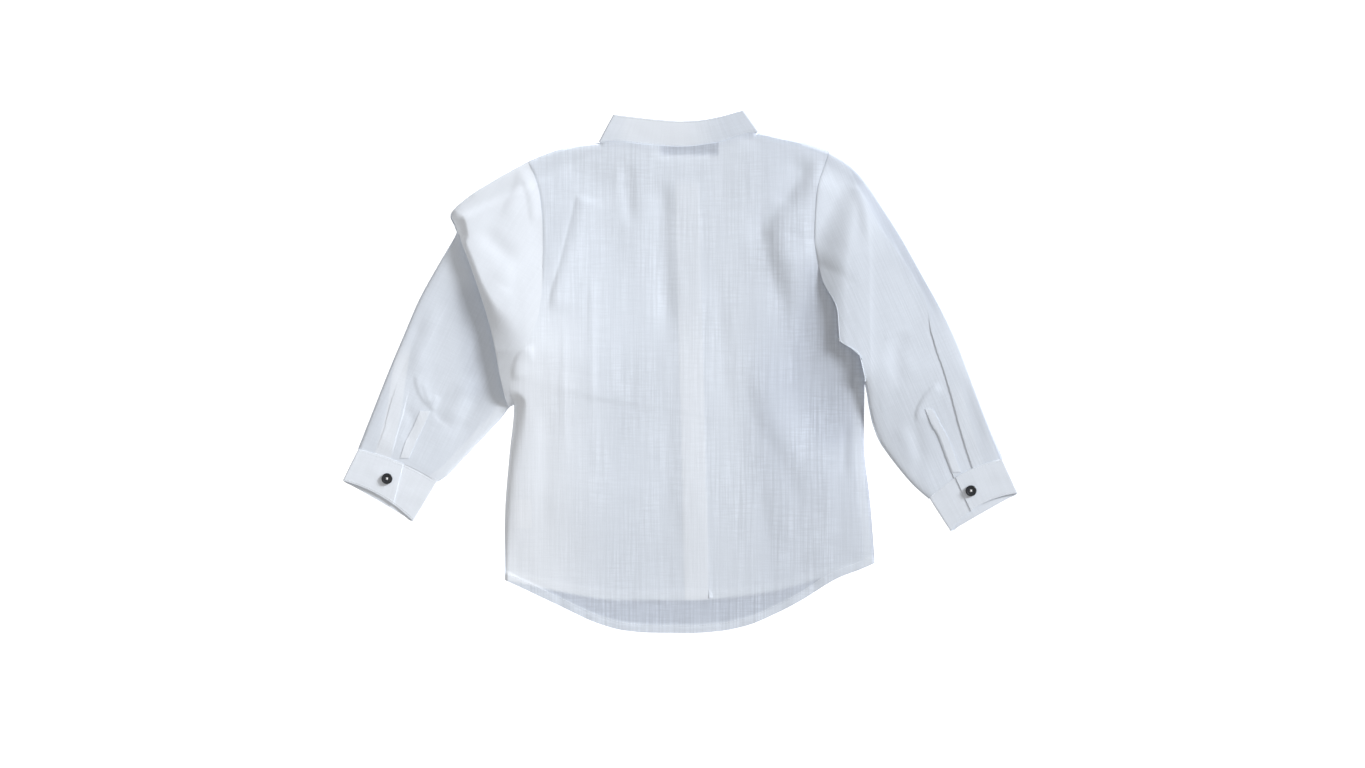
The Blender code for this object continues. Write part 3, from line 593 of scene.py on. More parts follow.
def show_through_and_shade(e, s):
    """How dense the cloth looks: layers beneath it show through. Painted light and shade are added as well:
    lighter towards the lower left, darker towards the right, in the hollow beside the right sleeve, along the
    top edge and in a thin line at the lower right side.

    0 is one layer over the ground, 0.5 two layers, 1 four and more."""
    x, y = np.ravel(e), np.ravel(s)
    below = y - curve_at(FRONT_HEM, x)
    hem = curve_at(BACK_HEM, x) - y
    dx = x - placket_middle(y)
    dens = np.full(len(x), 0.5)
    # painted light: the body is painted lighter towards the lower left
    dens += 0.40 * smooth((630 - x) / 110) * smooth((y - 230) / 160)
    # painted shade: the body is painted darker towards the right
    dens -= 0.18 * smooth((x - 725) / 60)
    # painted shade in the hollow beside the right sleeve
    dens -= (0.26 * smooth((x - 730) / 45)
             * np.exp(-((y - 385) / np.where(y < 385, 62, 90)) ** 2))
    # painted shade along the top edge, deepest on the right
    crown = y - curve_at(TOP_LINE, x)
    dens -= smooth((8 - crown) / 7) * (0.12 + 0.40 * smooth((x - 735) / 25))
    # painted shadow cast by the right sleeve's raised lip onto the body
    painted_shadow_dist = path_distance(np.stack([x, y], -1), ((816, 275), (809, 320),
                                                (814, 372), (832, 425)))[0]
    dens -= 0.26 * np.exp(-(painted_shadow_dist / 18) ** 2)
    single = smooth((below - 0.2) / 3.0)
    dens = dens * (1 - single) + 0.0 * single
    dens = np.maximum(dens, 0.42 * smooth((9.2 - hem) / 1.4))
    dens += 0.05 * smooth((below + 9) / 2.0) * (1 - single)
    on = smooth((y - 176) / 14) * (1 - single)
    dens += on * (0.12 + 0.14 * smooth((y - 270) / 110)) * smooth((dx + 12.6) / 1.5) * smooth((12.6 - dx) / 1.5)
    p = np.stack([x, y], -1)
    side_r = path_distance(p, edge_point(RIGHT_EDGE, np.linspace(0, 3, 13)))[0]
    side_l = path_distance(p, edge_point(LEFT_EDGE, np.linspace(0, 3, 13)))[0]
    dens += 0.13 * smooth((12 - side_r) / 1.6) * (1 - single)
    dens += 0.05 * smooth((12 - side_l) / 1.6) * (1 - single)
    # painted shade: a thin dark line along the lower right side edge
    dens -= 0.7 * smooth((2.6 - side_r) / 1.2) * smooth((y - 400) / 12)
    e0, e1, s0, s1 = LABEL
    box = (smooth((x - e0 + 1) / 1.6) * smooth((e1 - x) / 1.2)
           * smooth((y - s0) / 1.2) * smooth((s1 - y) / 1.2))
    dens += 0.95 * box * (1 - 0.4 * smooth((y - 516) / 2) * smooth((524 - x) / 2))
    # only one layer over the open neck
    neck = smooth((157 - y) / 3) * smooth((x - 657) / 8) * smooth((719.5 - x) / 2)
    dens -= 0.48 * neck
    return dens.reshape(np.shape(e))


def back_piece():
    rows = row_numbers(98, 122)
    n = 190
    top_u, bot_u = np.linspace(529, 829, n), np.linspace(505, 875, n)
    top = np.stack([top_u, curve_at(TOP_LINE, top_u)], -1)
    bottom = np.stack([bot_u, curve_at(BACK_HEM, bot_u)], -1)
    plan = patch(bottom, top, edge_point(LEFT_EDGE, rows),
                 edge_point(RIGHT_EDGE, rows))
    z = upper(plan[..., 0], plan[..., 1], BACK)
    dens = show_through_and_shade(plan[..., 0], plan[..., 1])
    uv = plan * np.array((1, -1.0))
    return shell("back_cloth", [(with_z(plan, z), THICK, uv, {"dens": dens})]), \
        (plan, z)


def sleeve_section(table, edge, r, across):
    """Plan points of one section of a sleeve, at fractions across it."""
    t = np.array(table, float)
    index = np.arange(len(t))
    k = int(np.clip(math.floor(r), 0, len(t) - 2))
    u = r - k
    p0, p1 = t[max(k - 1, 0)], t[k]
    p2, p3 = t[k + 1], t[min(k + 2, len(t) - 1)]
    row = 0.5 * (2 * p1 + (p2 - p0) * u + (2 * p0 - 5 * p1 + 4 * p2 - p3) * u ** 2
                 + (3 * p1 - p0 - 3 * p2 + p3) * u ** 3)
    oe, os_, ie, is_, bow = row
    outer, inner = np.array((oe, os_)), np.array((ie, is_))
    line = outer + (inner - outer) * across[:, None]
    direction = (inner - outer) / np.linalg.norm(inner - outer)
    normal = np.array((direction[1], -direction[0]))
    if normal @ (t[0, 0:2] - outer) < 0:
        normal = -normal
    line = line + normal * (bow * 4 * across * (1 - across))[:, None]
    fade = max(0.0, 1 - r / 4.2) ** 1.4
    if fade > 0:
        arm = arm_curve(edge)
        d = np.concatenate([[0], np.cumsum(np.hypot(*np.diff(arm, axis=0).T))])
        a = np.stack([np.interp(across * d[-1], d, arm[:, c]) for c in (0, 1)],
                     -1)
        straight = arm[0] + (arm[-1] - arm[0]) * across[:, None]
        line = line + fade * (a - straight)
    return line


def arm_curve(edge):
    return edge_point(edge, np.linspace(12, 3, 220))


def across_of(table, edge, r, path):
    """Where a path down the sleeve crosses section r, and how far off it is."""
    a = np.linspace(0, 1, 161)
    line = sleeve_section(table, edge, r, a)
    d, side, along, total = path_distance(line, path)
    k = int(np.argmin(d))
    return a[k], d[k], along[k], total


def sleeve_grid(table, edge, rows, cols, pleats):
    """Plan grid whose columns follow the pleats, and signed pleat offsets."""
    base = [0.0]
    marks = []
    for raised, height, reach, path in pleats:
        hits = [across_of(table, edge, r, path) for r in rows]
        ok = np.array([h[1] < 1.6 for h in hits])
        val = np.array([h[0] for h in hits])
        idx = np.where(ok)[0]
        track = np.interp(np.arange(len(rows)), idx, val[idx])
        marks.append((float(np.median(val[idx])), track))
    order = np.argsort([m[0] for m in marks])
    knots = np.concatenate([[0], [marks[k][0] for k in order], [1]])
    cols_base = np.linspace(0, 1, cols)
    for k in order:
        m = marks[k][0]
        j = int(np.argmin(abs(cols_base - m)))
        cols_base[j] = m - 0.0035
        cols_base = np.sort(np.append(cols_base, m + 0.0035))
    grid, amount = [], []
    for i, r in enumerate(rows):
        here = np.concatenate([[0], [marks[k][1][i] for k in order], [1]])
        for j in range(1, len(here)):
            here[j] = max(here[j], here[j - 1] + 0.012)
        here = here / here[-1]
        a = np.interp(cols_base, knots, here)
        grid.append(sleeve_section(table, edge, r, a))
        amount.append(a)
    return np.array(grid), cols_base, [marks[k][0] for k in range(len(pleats))]


def pleat_height(plan, cols_base, marks, pleats):
    z = np.zeros(plan.shape[:2])
    p = plan.reshape(-1, 2)
    for (raised, height, reach, path), mark in zip(pleats, marks):
        d, _, along, total = path_distance(p, path, 40)
        d, along = d.reshape(z.shape), along.reshape(z.shape)
        fade = smooth((along + 0.01) / 26.0)
        ends = np.where(along >= total - 0.5, np.exp(-(d / 20.0) ** 2), 1.0)
        before = np.where(along <= 0.01, np.exp(-(d / 6.0) ** 2), 1.0)
        over = (cols_base - mark) * raised > 0
        up = height * np.exp(-(d / reach) ** 2)
        down = -0.25 * height * np.exp(-(d / 3.0) ** 2)
        z += np.where(over[None, :], up, down) * fade * before * ends
    return z


def into_cuff(z, rows):
    """The sleeve's end narrows to the height of the cuff."""
    w = smooth((10 - rows) / 0.7)[:, None]
    return z * w + np.minimum(z, 2.35) * (1 - w)


def grain_uv(plan):
    """Flat coordinates along a sleeve, in mm, from its own sections."""
    mid = plan[:, plan.shape[1] // 2]
    along = np.concatenate([[0], np.cumsum(np.hypot(*np.diff(mid, axis=0).T))])
    d = np.hypot(*np.diff(plan, axis=1).transpose(2, 0, 1))
    across = np.concatenate([np.zeros((len(plan), 1)), np.cumsum(d, 1)], 1)
    across = across - across[:, -1:] * 0.5
    return np.stack([across, np.broadcast_to(-along[:, None], across.shape)], -1)


def rigid_uv(plan, turn):
    """Flat coordinates turned with a sleeve whose cloth lies flat."""
    a = math.radians(turn)
    x, y = plan[..., 0], -plan[..., 1]
    return np.stack([x * math.cos(a) + y * math.sin(a),
                     -x * math.sin(a) + y * math.cos(a)], -1)


def lower_layer(table, edge, rows, cols):
    plan = np.array([sleeve_section(table, edge, r, np.linspace(0, 1, cols))
                     for r in rows])
    p = plan.reshape(-1, 2)
    d = nearest(p, FOLDED_EDGES).reshape(plan.shape[:2])
    t = np.clip(d / 1.6, 0, 1)
    z = 0.55 * (1 - np.sqrt(1 - (1 - t) ** 2))
    return plan, z


def sleeve_right_piece():
    rows = np.concatenate([np.linspace(0, 10, 176)])
    plan, base, marks = sleeve_grid(RIGHT_SLEEVE, RIGHT_EDGE, rows, 96,
                                    RIGHT_PLEATS)
    z = upper(plan[..., 0], plan[..., 1], RSL)
    z += pleat_height(plan, base, marks, RIGHT_PLEATS)
    z = into_cuff(z, rows)
    uv = rigid_uv(plan, 24)
    p = plan.reshape(-1, 2)
    d = nearest(p, [spline([r[0:2] for r in RIGHT_SLEEVE], 40)]).reshape(z.shape)
    x, y = plan[..., 0], plan[..., 1]
    crease = ((859, 188), (878, 226), (903, 262), (926, 305), (929.4, 329))
    dc, side, _, _ = path_distance(p, crease, 30)
    dc = (dc * side).reshape(z.shape)
    dens = np.full(z.shape, 0.46)
    dens -= 0.50 * smooth((5.0 - d) / 2.6) * smooth((y - 150) / 30)
    dens -= 0.16 * smooth((26 - d) / 20) * smooth((330 - y) / 60)
    dens -= 0.24 * smooth((dc + 1) / 3) * smooth((345 - y) / 60)
    dp, side, _, _ = path_distance(p, RIGHT_PLEATS[0][3], 30)
    dp = (dp * side).reshape(z.shape)
    dens += 0.12 * (smooth(dp / 1.0) * smooth((13 - dp) / 1.5)
                    * smooth((y - 372) / 30))
    dens += 0.05 * smooth((11 - nearest(p, [spline(
        [r[2:4] for r in RIGHT_SLEEVE], 24)]).reshape(z.shape)) / 1.5)
    # lap of the sleeve over the body: the cloth turns under along the armhole
    arm = plan[0].copy()
    z_low = upper(arm[:, 0], arm[:, 1], BACK)
    gap = z_low - z[0] + 0.10
    upper_arm = smooth((262 - arm[:, 1]) / 40)
    level = (gap * upper_arm + np.maximum(gap, 0) * (1 - upper_arm)
             * smooth((306 - arm[:, 1]) / 24))
    inside = np.hypot(*(plan - arm[None]).transpose(2, 0, 1))
    z = z + level[None, :] * np.exp(-(inside / 30.0) ** 2)
    inward = plan[4] - plan[0]
    inward /= np.linalg.norm(inward, axis=1)[:, None]
    turned, zz = [], []
    depth = np.maximum(z[0] - z_low, 0.0)
    raised = smooth((depth - 0.35) / 0.9)
    reach = np.minimum(2.2, 0.45 * depth) * raised
    for a in np.linspace(0, 1, 9)[:-1]:
        ang = math.pi * a
        turned.append(arm + inward * (reach * (1 - math.sin(ang))
                                      + 0.7 * a * (1 - raised))[:, None])
        up = raised * (1 - math.cos(ang)) / 2 + (1 - raised) * smooth(a)
        zz.append(z_low - 0.16 * (1 - raised) * (1 - a)
                  + (z[0] - z_low) * up)
    plan[0] += inward * 0.8
    plan2 = np.concatenate([np.array(turned), plan])
    z2 = np.concatenate([np.array(zz), z])
    k = len(turned)
    # move the first real rows inward, so that the lip is round
    uv2 = np.concatenate([np.repeat(uv[:1], k, 0), uv])
    dens2 = np.concatenate([np.repeat(dens[:1], k, 0), dens])
    low_plan, low_z = lower_layer(RIGHT_SLEEVE, RIGHT_EDGE,
                                  np.linspace(0, 10, 64), 36)
    grid_low = with_z(low_plan, low_z + THICK)
    return shell("sleeve_right_cloth", [
        (with_z(plan2, z2), THICK, uv2, {"dens": dens2}),
        (grid_low, THICK, rigid_uv(low_plan, 24),
         {"dens": np.full(low_z.shape, 0.5)})]), (plan, z)


def sleeve_left_piece():
    cap_rows = np.linspace(0, 3, 58)
    low_rows = np.linspace(3.0, 10, 130)
    cap = np.array([sleeve_section(LEFT_SLEEVE, LEFT_EDGE, r,
                                   np.linspace(0, 1, 97)) for r in cap_rows])
    z_cap = upper(cap[..., 0], cap[..., 1], CAP)
    low, base, marks = sleeve_grid(LEFT_SLEEVE, LEFT_EDGE, low_rows, 95,
                                   LEFT_PLEATS)
    # the cloth below the roll starts underneath it
    t = np.linspace(0, 1, len(low_rows))[:, None, None]
    crest = cap[-1]
    inward = cap[-6] - cap[-1]
    inward /= np.maximum(np.linalg.norm(inward, axis=1), 1e-6)[:, None]
    z_low = upper(low[..., 0], low[..., 1], LOW)
    z_low += pleat_height(low, base, marks, LEFT_PLEATS)
    z_low = into_cuff(z_low, low_rows)
    a = np.linspace(0, 1, low.shape[1])
    # pull the first lower rows under the crest
    pull = np.exp(-(np.arange(len(low_rows)) / 3.2) ** 2)[:, None, None]
    inner = np.stack([np.interp(a, np.linspace(0, 1, 97), inward[:, c])
                      for c in (0, 1)], -1)
    tuck = (5.0 * np.sin(np.pi * np.clip(a, 0, 1)) ** 0.5 + 1.5)[:, None]
    low = low + inner * tuck * pull
    z_low = np.maximum(z_low - 1.2 * pull[..., 0], 0.5)
    depth = np.maximum(z_cap[-1] - np.interp(np.linspace(0, 1, 97), a,
                                             z_low[0]), 0.4)
    roll, z_roll = [], []
    floor = np.interp(np.linspace(0, 1, 97), a, z_low[0])
    tuck_cap = (5.0 * np.sin(np.pi * np.linspace(0, 1, 97)) ** 0.5 + 1.5)
    for k in range(1, 12):
        ang = math.pi * k / 12
        bulge = np.minimum(0.42 * depth, 3.4)
        back = tuck_cap * (1 - math.cos(ang)) / 2
        roll.append(crest - inward * (bulge * math.sin(ang))[:, None]
                    + inward * back[:, None])
        z_roll.append(floor + depth * (1 + math.cos(ang)) / 2)
    top = np.concatenate([cap, np.array(roll)])
    z_top = np.concatenate([z_cap, np.array(z_roll)])
    uv_top = rigid_uv(top, -32)
    uv_low = rigid_uv(low, -26)
    low_plan, low_zz = lower_layer(LEFT_SLEEVE, LEFT_EDGE,
                                   np.linspace(0, 10, 64), 36)
    dens_top = np.full(z_top.shape, 0.82)
    low_layers_and_shade = np.full(z_low.shape, 0.55)
    p = low.reshape(-1, 2)
    # painted shadow on the lower sleeve beside the big roll
    painted_shadow_dist = path_distance(p, ((466, 300), (474, 340), (478, 388)))[0]
    low_layers_and_shade -= 0.30 * np.exp(-(painted_shadow_dist.reshape(z_low.shape) / 15) ** 2)
    inner = nearest(p, [spline([r[2:4] for r in LEFT_SLEEVE], 24)])
    low_layers_and_shade += 0.16 * smooth((11 - inner.reshape(z_low.shape)) / 1.5)
    wide = (((399, 340), (391, 378), (386, 412), (375, 452)),
            ((413, 340), (407, 378), (402, 412), (392, 456)))
    bands = []
    for path in wide:
        d, side, _, _ = path_distance(p, path, 30)
        bands.append((d * side).reshape(z_low.shape))
    low_layers_and_shade += 0.28 * (smooth(bands[0] / 1.5) * smooth(-bands[1] / 1.5)
                        * smooth((low[..., 1] - 335) / 30))
    return shell("sleeve_left_cloth", [
        (with_z(top, z_top), THICK, uv_top, {"dens": dens_top}),
        (with_z(low, z_low), THICK, uv_low, {"dens": low_layers_and_shade}),
        (with_z(low_plan, low_zz + THICK), THICK, rigid_uv(low_plan, -26),
         {"dens": np.full(low_zz.shape, 0.5)})]), (low, z_low, cap, z_cap)


# ----------------------------------------------------------- fronts and bands
def arch(dx):
    return 2.25 * np.clip((BAND_HALF - np.abs(dx)) / (BAND_HALF - 6.5), 0, 1)


def front_pieces():
    rows = row_numbers(40, 50)

    def fractions():
        pts = (edge_point(LEFT_EDGE, rows) + edge_point(RIGHT_EDGE, rows)) / 2
        d = np.hypot(*np.diff(pts, axis=0).T)
        return np.concatenate([[0], np.cumsum(d)]) / d.sum()
    fr = fractions()
    made = []
    gap = 0.1
    # wearer's left
    te = np.concatenate([np.linspace(529, 600, 16),
                         spline(NECK_LEFT, 26)[1:, 0]])
    ts = np.concatenate([curve_at(TOP_LINE, np.linspace(529, 600, 16)),
                         spline(NECK_LEFT, 26)[1:, 1]])
    te[-1] = placket_middle(201) - BAND_HALF - gap
    top = np.stack([te, ts], -1)
    be = np.linspace(505.6, placket_middle(598) - BAND_HALF - gap, len(te))
    bottom = np.stack([be, curve_at(FRONT_HEM, be)], -1)
    inner = bottom[-1] + (top[-1] - bottom[-1]) * fr[:, None]
    side = edge_point(LEFT_EDGE, rows)
    side[0] = bottom[0]
    made.append(("front_left", patch(bottom, top, side, inner)))
    # wearer's right
    te = np.concatenate([spline(NECK_RIGHT, 26)[:-1, 0],
                         np.linspace(757.5, 829, 16)])
    ts = np.concatenate([spline(NECK_RIGHT, 26)[:-1, 1],
                         curve_at(TOP_LINE, np.linspace(757.5, 829, 16))])
    te[0] = placket_middle(202) + BAND_HALF + gap
    top = np.stack([te, ts], -1)
    be = np.linspace(placket_middle(598) + BAND_HALF + gap, 874.4, len(te))
    bottom = np.stack([be, curve_at(FRONT_HEM, be)], -1)
    inner = bottom[0] + (top[0] - bottom[0]) * fr[:, None]
    side = edge_point(RIGHT_EDGE, rows)
    side[0] = bottom[-1]
    made.append(("front_right", patch(bottom, top, inner, side)))
    out = []
    for name, plan in made:
        p = plan.reshape(-1, 2)
        d = nearest(p, FOLDED_EDGES).reshape(plan.shape[:2])
        t = np.clip(d / 1.6, 0, 1)
        z = 0.55 * (1 - np.sqrt(1 - (1 - t) ** 2))
        if name == "front_right":
            dx = plan[..., 0] - placket_middle(plan[..., 1])
            z = z + 1.2 * smooth((BAND_HALF + 9.0 - dx) / 8.0)
        hem = curve_at(FRONT_HEM, plan[..., 0]) - plan[..., 1]
        turned = smooth((8.6 - hem) / 0.9)
        obj = shell(name + "_cloth", [
            (with_z(plan, z + THICK + 0.25 * turned), THICK + 0.0, plan *
             np.array((1, -1.0)), {"dens": np.full(z.shape, 0.5)})])
        out.append((obj, plan))
    return out


def band_piece(name, lift):
    across = np.concatenate([np.linspace(-12, -6.5, 6), np.linspace(-6.5, 6.5, 8)
                             [1:-1], np.linspace(6.5, 12, 6)])
    plan = []
    for f in np.linspace(0, 1, 130):
        row = []
        for dx in across:
            low = curve_at(FRONT_HEM, placket_middle(598) + dx)
            high = 201.7 + 0.04 * dx
            s = low + (high - low) * f
            row.append((placket_middle(s) + dx, s))
        plan.append(row)
    plan = np.array(plan)
    z = arch(across) * (1 - smooth((plan[..., 1] - 530) / 30)) + lift
    z += 0.08 * lattice(31, plan[..., 0] / 9, plan[..., 1] / 30)
    z = np.maximum(z, lift)
    return shell(name + "_cloth", [(with_z(plan, z + 0.6), 0.6,
                                    plan * np.array((1, -1.0)),
                                    {"dens": np.full(z.shape, 0.8)})])


def densify(stations, step):
    """Stations (seam, far, normal) closer together, on smooth lines."""
    a = np.array([np.concatenate([s[0], s[1], s[2]]) for s in stations], float)
    mid = (a[:, 0:3] + a[:, 3:6]) / 2
    d = np.concatenate([[0], np.cumsum(np.linalg.norm(np.diff(mid, axis=0),
                                                      axis=1))])
    n = max(int(d[-1] / step), len(a) * 2)
    t = np.unique(np.concatenate([np.linspace(0, d[-1], n), d]))
    out = np.stack([pchip(d, a[:, c], t) for c in range(9)], -1)
    out[:, 6:9] /= np.linalg.norm(out[:, 6:9], axis=1)[:, None]
    return out, t


def pchip(xs, ys, x):
    h = np.diff(xs)
    d = np.diff(ys) / h
    m = np.zeros(len(xs))
    m[0], m[-1] = d[0], d[-1]
    for k in range(1, len(xs) - 1):
        if d[k - 1] * d[k] > 0:
            w1, w2 = 2 * h[k] + h[k - 1], h[k] + 2 * h[k - 1]
            m[k] = (w1 + w2) / (w1 / d[k - 1] + w2 / d[k])
    k = np.clip(np.searchsorted(xs, x) - 1, 0, len(h) - 1)
    t = (x - xs[k]) / h[k]
    return ((1 + 2 * t) * (1 - t) ** 2 * ys[k] + t * (1 - t) ** 2 * h[k] * m[k]
            + t * t * (3 - 2 * t) * ys[k + 1] + t * t * (t - 1) * h[k] * m[k + 1])


def strip_shell(name, stations, dens, across=14, thick=BAND_THICK, step=2.0,
                wobble=0.15):
    a, t = densify(stations, step)
    f = np.linspace(0, 1, across)[None, :, None]
    line = a[:, None, 0:3] + (a[:, None, 3:6] - a[:, None, 0:3]) * f
    normal = np.broadcast_to(a[:, None, 6:9], line.shape)
    # a soft pillow between the two stitched edges
    w = 0.20 * np.sin(np.pi * f) ** 0.6 + wobble * lattice(
        41, line[..., :1] / 13, line[..., 1:2] / 11) * np.sin(np.pi * f)
    w = w * np.where(normal[..., 2:] < 0, 0.2, 1.0)
    line = line + normal * w
    top = line + normal * thick / 2
    width = np.linalg.norm(a[:, 3:6] - a[:, 0:3], axis=1).mean()
    uv = np.stack(np.broadcast_arrays(t[:, None], f[..., 0] * width), -1)
    dens = np.full(top.shape[:2], dens)
    if name == "collar_cloth":
        # painted shade: the collar is painted darker towards its right and at its left end
        dens -= 0.42 * smooth((top[..., 0] - 675) / 60)
        dens -= 0.18 * smooth((632 - top[..., 0]) / 18)
    return shell(name, [(top, thick, uv, {"dens": dens}, normal)]), \
        (top, normal, t)


def turn(seam_from, far_from, seam_to, far_to, outward, start, steps=8):
    out = []
    for k in range(1, steps):
        a = math.pi * k / steps
        pts = []
        for p, q in ((seam_from, seam_to), (far_from, far_to)):
            p, q = np.asarray(p, float), np.asarray(q, float)
            middle, radius = (p + q) / 2, abs(q[2] - p[2]) / 2
            up = 1 if q[2] > p[2] else -1
            pts.append(middle + np.array((*(outward * math.sin(a) * radius),
                                          -up * math.cos(a) * radius)))
        n = np.array((*(outward * math.sin(a)), start * math.cos(a)))
        out.append((pts[0], pts[1], n))
    return out


def collar_piece():
    up, down = np.array((0, 0, 1.0)), np.array((0, 0, -1.0))
    z0, z1 = 0.54, 2.9
    st = []
    right = ((706, 200.3, 703, 175.5), (725, 191, 713, 168.5),
             (744, 174, 724.5, 157.5), (755, 154, 731, 142))
    left = ((606, 160, 628, 146.5), (620, 178, 638, 161), (645, 193, 654.5, 170))
    middle = placket_middle(190)

    def shift(es, ef, gap=0.3):
        es, ef = np.array(es, float), np.array(ef, float)
        v = (ef - es) / np.linalg.norm(ef - es)
        return es + v * gap, ef
    for dx in (-12.0, -6.5, 0.0, 6.5, 12.0):
        seam, far = shift((middle + dx, 201.5 + 0.04 * dx),
                          (middle + dx + 0.3, 176.8))
        z = float(arch(np.array(dx))) + z0 + 1.3
        st.append(((*seam, z), (*far, z), down))
    for k, r in enumerate(right):
        seam, far = shift(r[0:2], r[2:4])
        z = z0 + (0.9 if k == 0 else 0.0)
        st.append(((*seam, z), (*far, z), down))
    seam, far = shift((757.5, 132.8), (742, 111))
    st.append(((*seam, z0), (*far, z0), down))
    out = np.array((0.83, -0.56))
    st += turn((*seam, z0), (*far, z0), (*seam, z1 + 1.6), (*far, z1 + 1.7),
               out, -1)
    for e in np.linspace(757.5, 600, 26):
        f = (757.5 - e) / 157.5
        te = 742 + (615 - 742) * f
        seam, far = shift((e, float(curve_at(TOP_LINE, e))),
                          (te, float(curve_at(COLLAR_TOP, te))), 0.1)
        z = z1 + 1.7 * (1 - f) ** 1.4
        st.append(((*seam, z - 0.1), (*far, z), up))
    seam, far = shift((600, 143), (615, 115))
    out = np.array((-0.88, -0.47))
    st += turn((*seam, z1), (*far, z1), (*seam, z0), (*far, z0), out, 1)
    st.append(((*seam, z0), (*far, z0), down))
    for r in left:
        seam, far = shift(r[0:2], r[2:4])
        st.append(((*seam, z0), (*far, z0), down))
    for dx in (-12.0, -6.5, 0.0, 6.5, 12.0):
        seam, far = shift((middle + dx, 201.5 + 0.04 * dx),
                          (middle + dx + 0.3, 176.8))
        z = float(arch(np.array(dx))) + z0
        st.append(((*seam, z), (*far, z), down))
    return strip_shell("collar_cloth", st, 0.82, across=18)


def cuff_piece(name, end_row, mouth_outer, mouth_inner, near_bow, over, under):
    end_row = np.asarray(end_row)
    outer, inner = end_row[0], end_row[-1]
    mouth_outer, mouth_inner = np.array(mouth_outer), np.array(mouth_inner)
    along = mouth_outer + mouth_inner - outer - inner
    along /= np.linalg.norm(along)
    d = np.hypot(*np.diff(end_row, axis=0).T)
    frac = np.concatenate([[0], np.cumsum(d)]) / d.sum()
    west = (inner - outer) / np.linalg.norm(inner - outer)

    def seam(f):
        return np.array([np.interp(f, frac, end_row[:, c]) for c in (0, 1)]) \
            + along * 0.1

    def mouth(f, bow):
        return (mouth_outer + (mouth_inner - mouth_outer) * f
                - along * bow * 4 * f * (1 - f))
    z0 = 0.45
    z1, z2 = z0 + 1.35, z0 + 1.85
    up, down = np.array((0, 0, 1.0)), np.array((0, 0, -1.0))
    edge = 0.02

    def station(fs, fm, level, normal, bow, opening):
        lift = opening * math.sin(math.pi * fm)
        return ((*seam(fs), level + 0.35 * lift),
                (*mouth(fm, bow), level + lift), normal)
    st = []
    for k in range(9):
        g = 1 - k / 8
        st.append(station(edge + (over[0] - edge) * g,
                          edge + (over[1] - edge) * g, z2, up, near_bow, 0.3))
    a, b = st[-1], station(edge, edge, z0, down, 0.5, 0.9)
    st += turn(a[0], a[1], b[0], b[1], -west, 1)
    for f in np.linspace(edge, 1 - edge, 9):
        st.append(station(f, f, z0, down, 0.5, 0.9))
    a, b = st[-1], station(1 - edge, 1 - edge, z1, up, near_bow, 0.3)
    st += turn(a[0], a[1], b[0], b[1], west, -1)
    for k in range(9):
        g = k / 8
        st.append(station(1 - edge + (under[0] - 1 + edge) * g,
                          1 - edge + (under[1] - 1 + edge) * g,
                          z1, up, near_bow, 0.3))
    # painted shade: the right cuff is painted darker than the left one
    return strip_shell(name, st, 0.82 if "left" in name else 0.68, across=22,
                       thick=0.6)


class Surface:
    """Height of a plan grid, looked up by nearest points."""

    def __init__(self, plan, z):
        self.p = plan.reshape(-1, 2)
        self.z = np.asarray(z).reshape(-1)

    def at(self, e, s):
        d = (self.p[:, 0] - e) ** 2 + (self.p[:, 1] - s) ** 2
        k = np.argpartition(d, 4)[:4]
        w = 1 / (d[k] + 0.05)
        return float((self.z[k] * w).sum() / w.sum())


def slit_piece(name, table, surface, dens):
    t = np.array(table, float)
    plan = []
    for r in np.linspace(0, len(t) - 1, 46):
        w, e, s = (np.interp(r, np.arange(len(t)), t[:, c]) for c in range(3))
        plan.append([(w + (e - w) * f, s) for f in np.linspace(0, 1, 9)])
    plan = np.array(plan)
    z = np.array([[surface.at(*p) for p in row] for row in plan]) + 0.30
    return shell(name, [(with_z(plan, z), 0.28, rigid_uv(plan, 20),
                         {"dens": np.full(z.shape, dens)})])


# -------------------------------------------------------------------- buttons
def button_mesh():
    """Turned button with a raised rim and four holes."""
    r, h, around = BUTTON_D / 2, BUTTON_H, 48
    profile = ((0.0, 0.0), (0.74, 0.0), (0.90, 0.06), (0.98, 0.26), (1.0, 0.5),
               (0.985, 0.74), (0.94, 0.92), (0.88, 1.0), (0.80, 1.0),
               (0.74, 0.94), (0.68, 0.82), (0.60, 0.74), (0.0, 0.70))
    verts, faces = [], []
    for rad, hh in profile:
        if rad == 0:
            verts.append((0, 0, hh * h))
            continue
        for i in range(around):
            a = 2 * math.pi * i / around
            verts.append((rad * r * math.cos(a), rad * r * math.sin(a), hh * h))
    last = len(verts) - 1
    rings = len(profile) - 2
    for i in range(around):
        j = (i + 1) % around
        faces.append((0, 1 + j, 1 + i))
        for k in range(rings - 1):
            a, b = 1 + k * around + i, 1 + k * around + j
            faces.append((a, b, b + around, a + around))
        base = 1 + (rings - 1) * around
        faces.append((base + i, base + j, last))
    mesh = bpy.data.meshes.new("button_shape")
    mesh.from_pydata([tuple(c / 1000 for c in v) for v in verts], [], faces)
    mesh.validate()
    disc = bpy.data.objects.new("button_disc", mesh)
    bpy.context.scene.collection.objects.link(disc)
    drills = []
    for k in range(4):
        a = math.pi / 4 + k * math.pi / 2
        bpy.ops.mesh.primitive_cylinder_add(
            vertices=16, radius=0.00062, depth=0.01,
            location=(0.00125 * math.cos(a), 0.00125 * math.sin(a), 0.001))
        drills.append(bpy.context.object)
    for d in drills:
        m = disc.modifiers.new("hole", "BOOLEAN")
        m.operation, m.object, m.solver = "DIFFERENCE", d, "EXACT"
    bpy.context.view_layer.update()
    dg = bpy.context.evaluated_depsgraph_get()
    made = bpy.data.meshes.new_from_object(disc.evaluated_get(dg))
    for o in drills + [disc]:
        bpy.data.objects.remove(o, do_unlink=True)
    made.shade_smooth()
    made.set_sharp_from_angle(angle=math.radians(38))
    return made


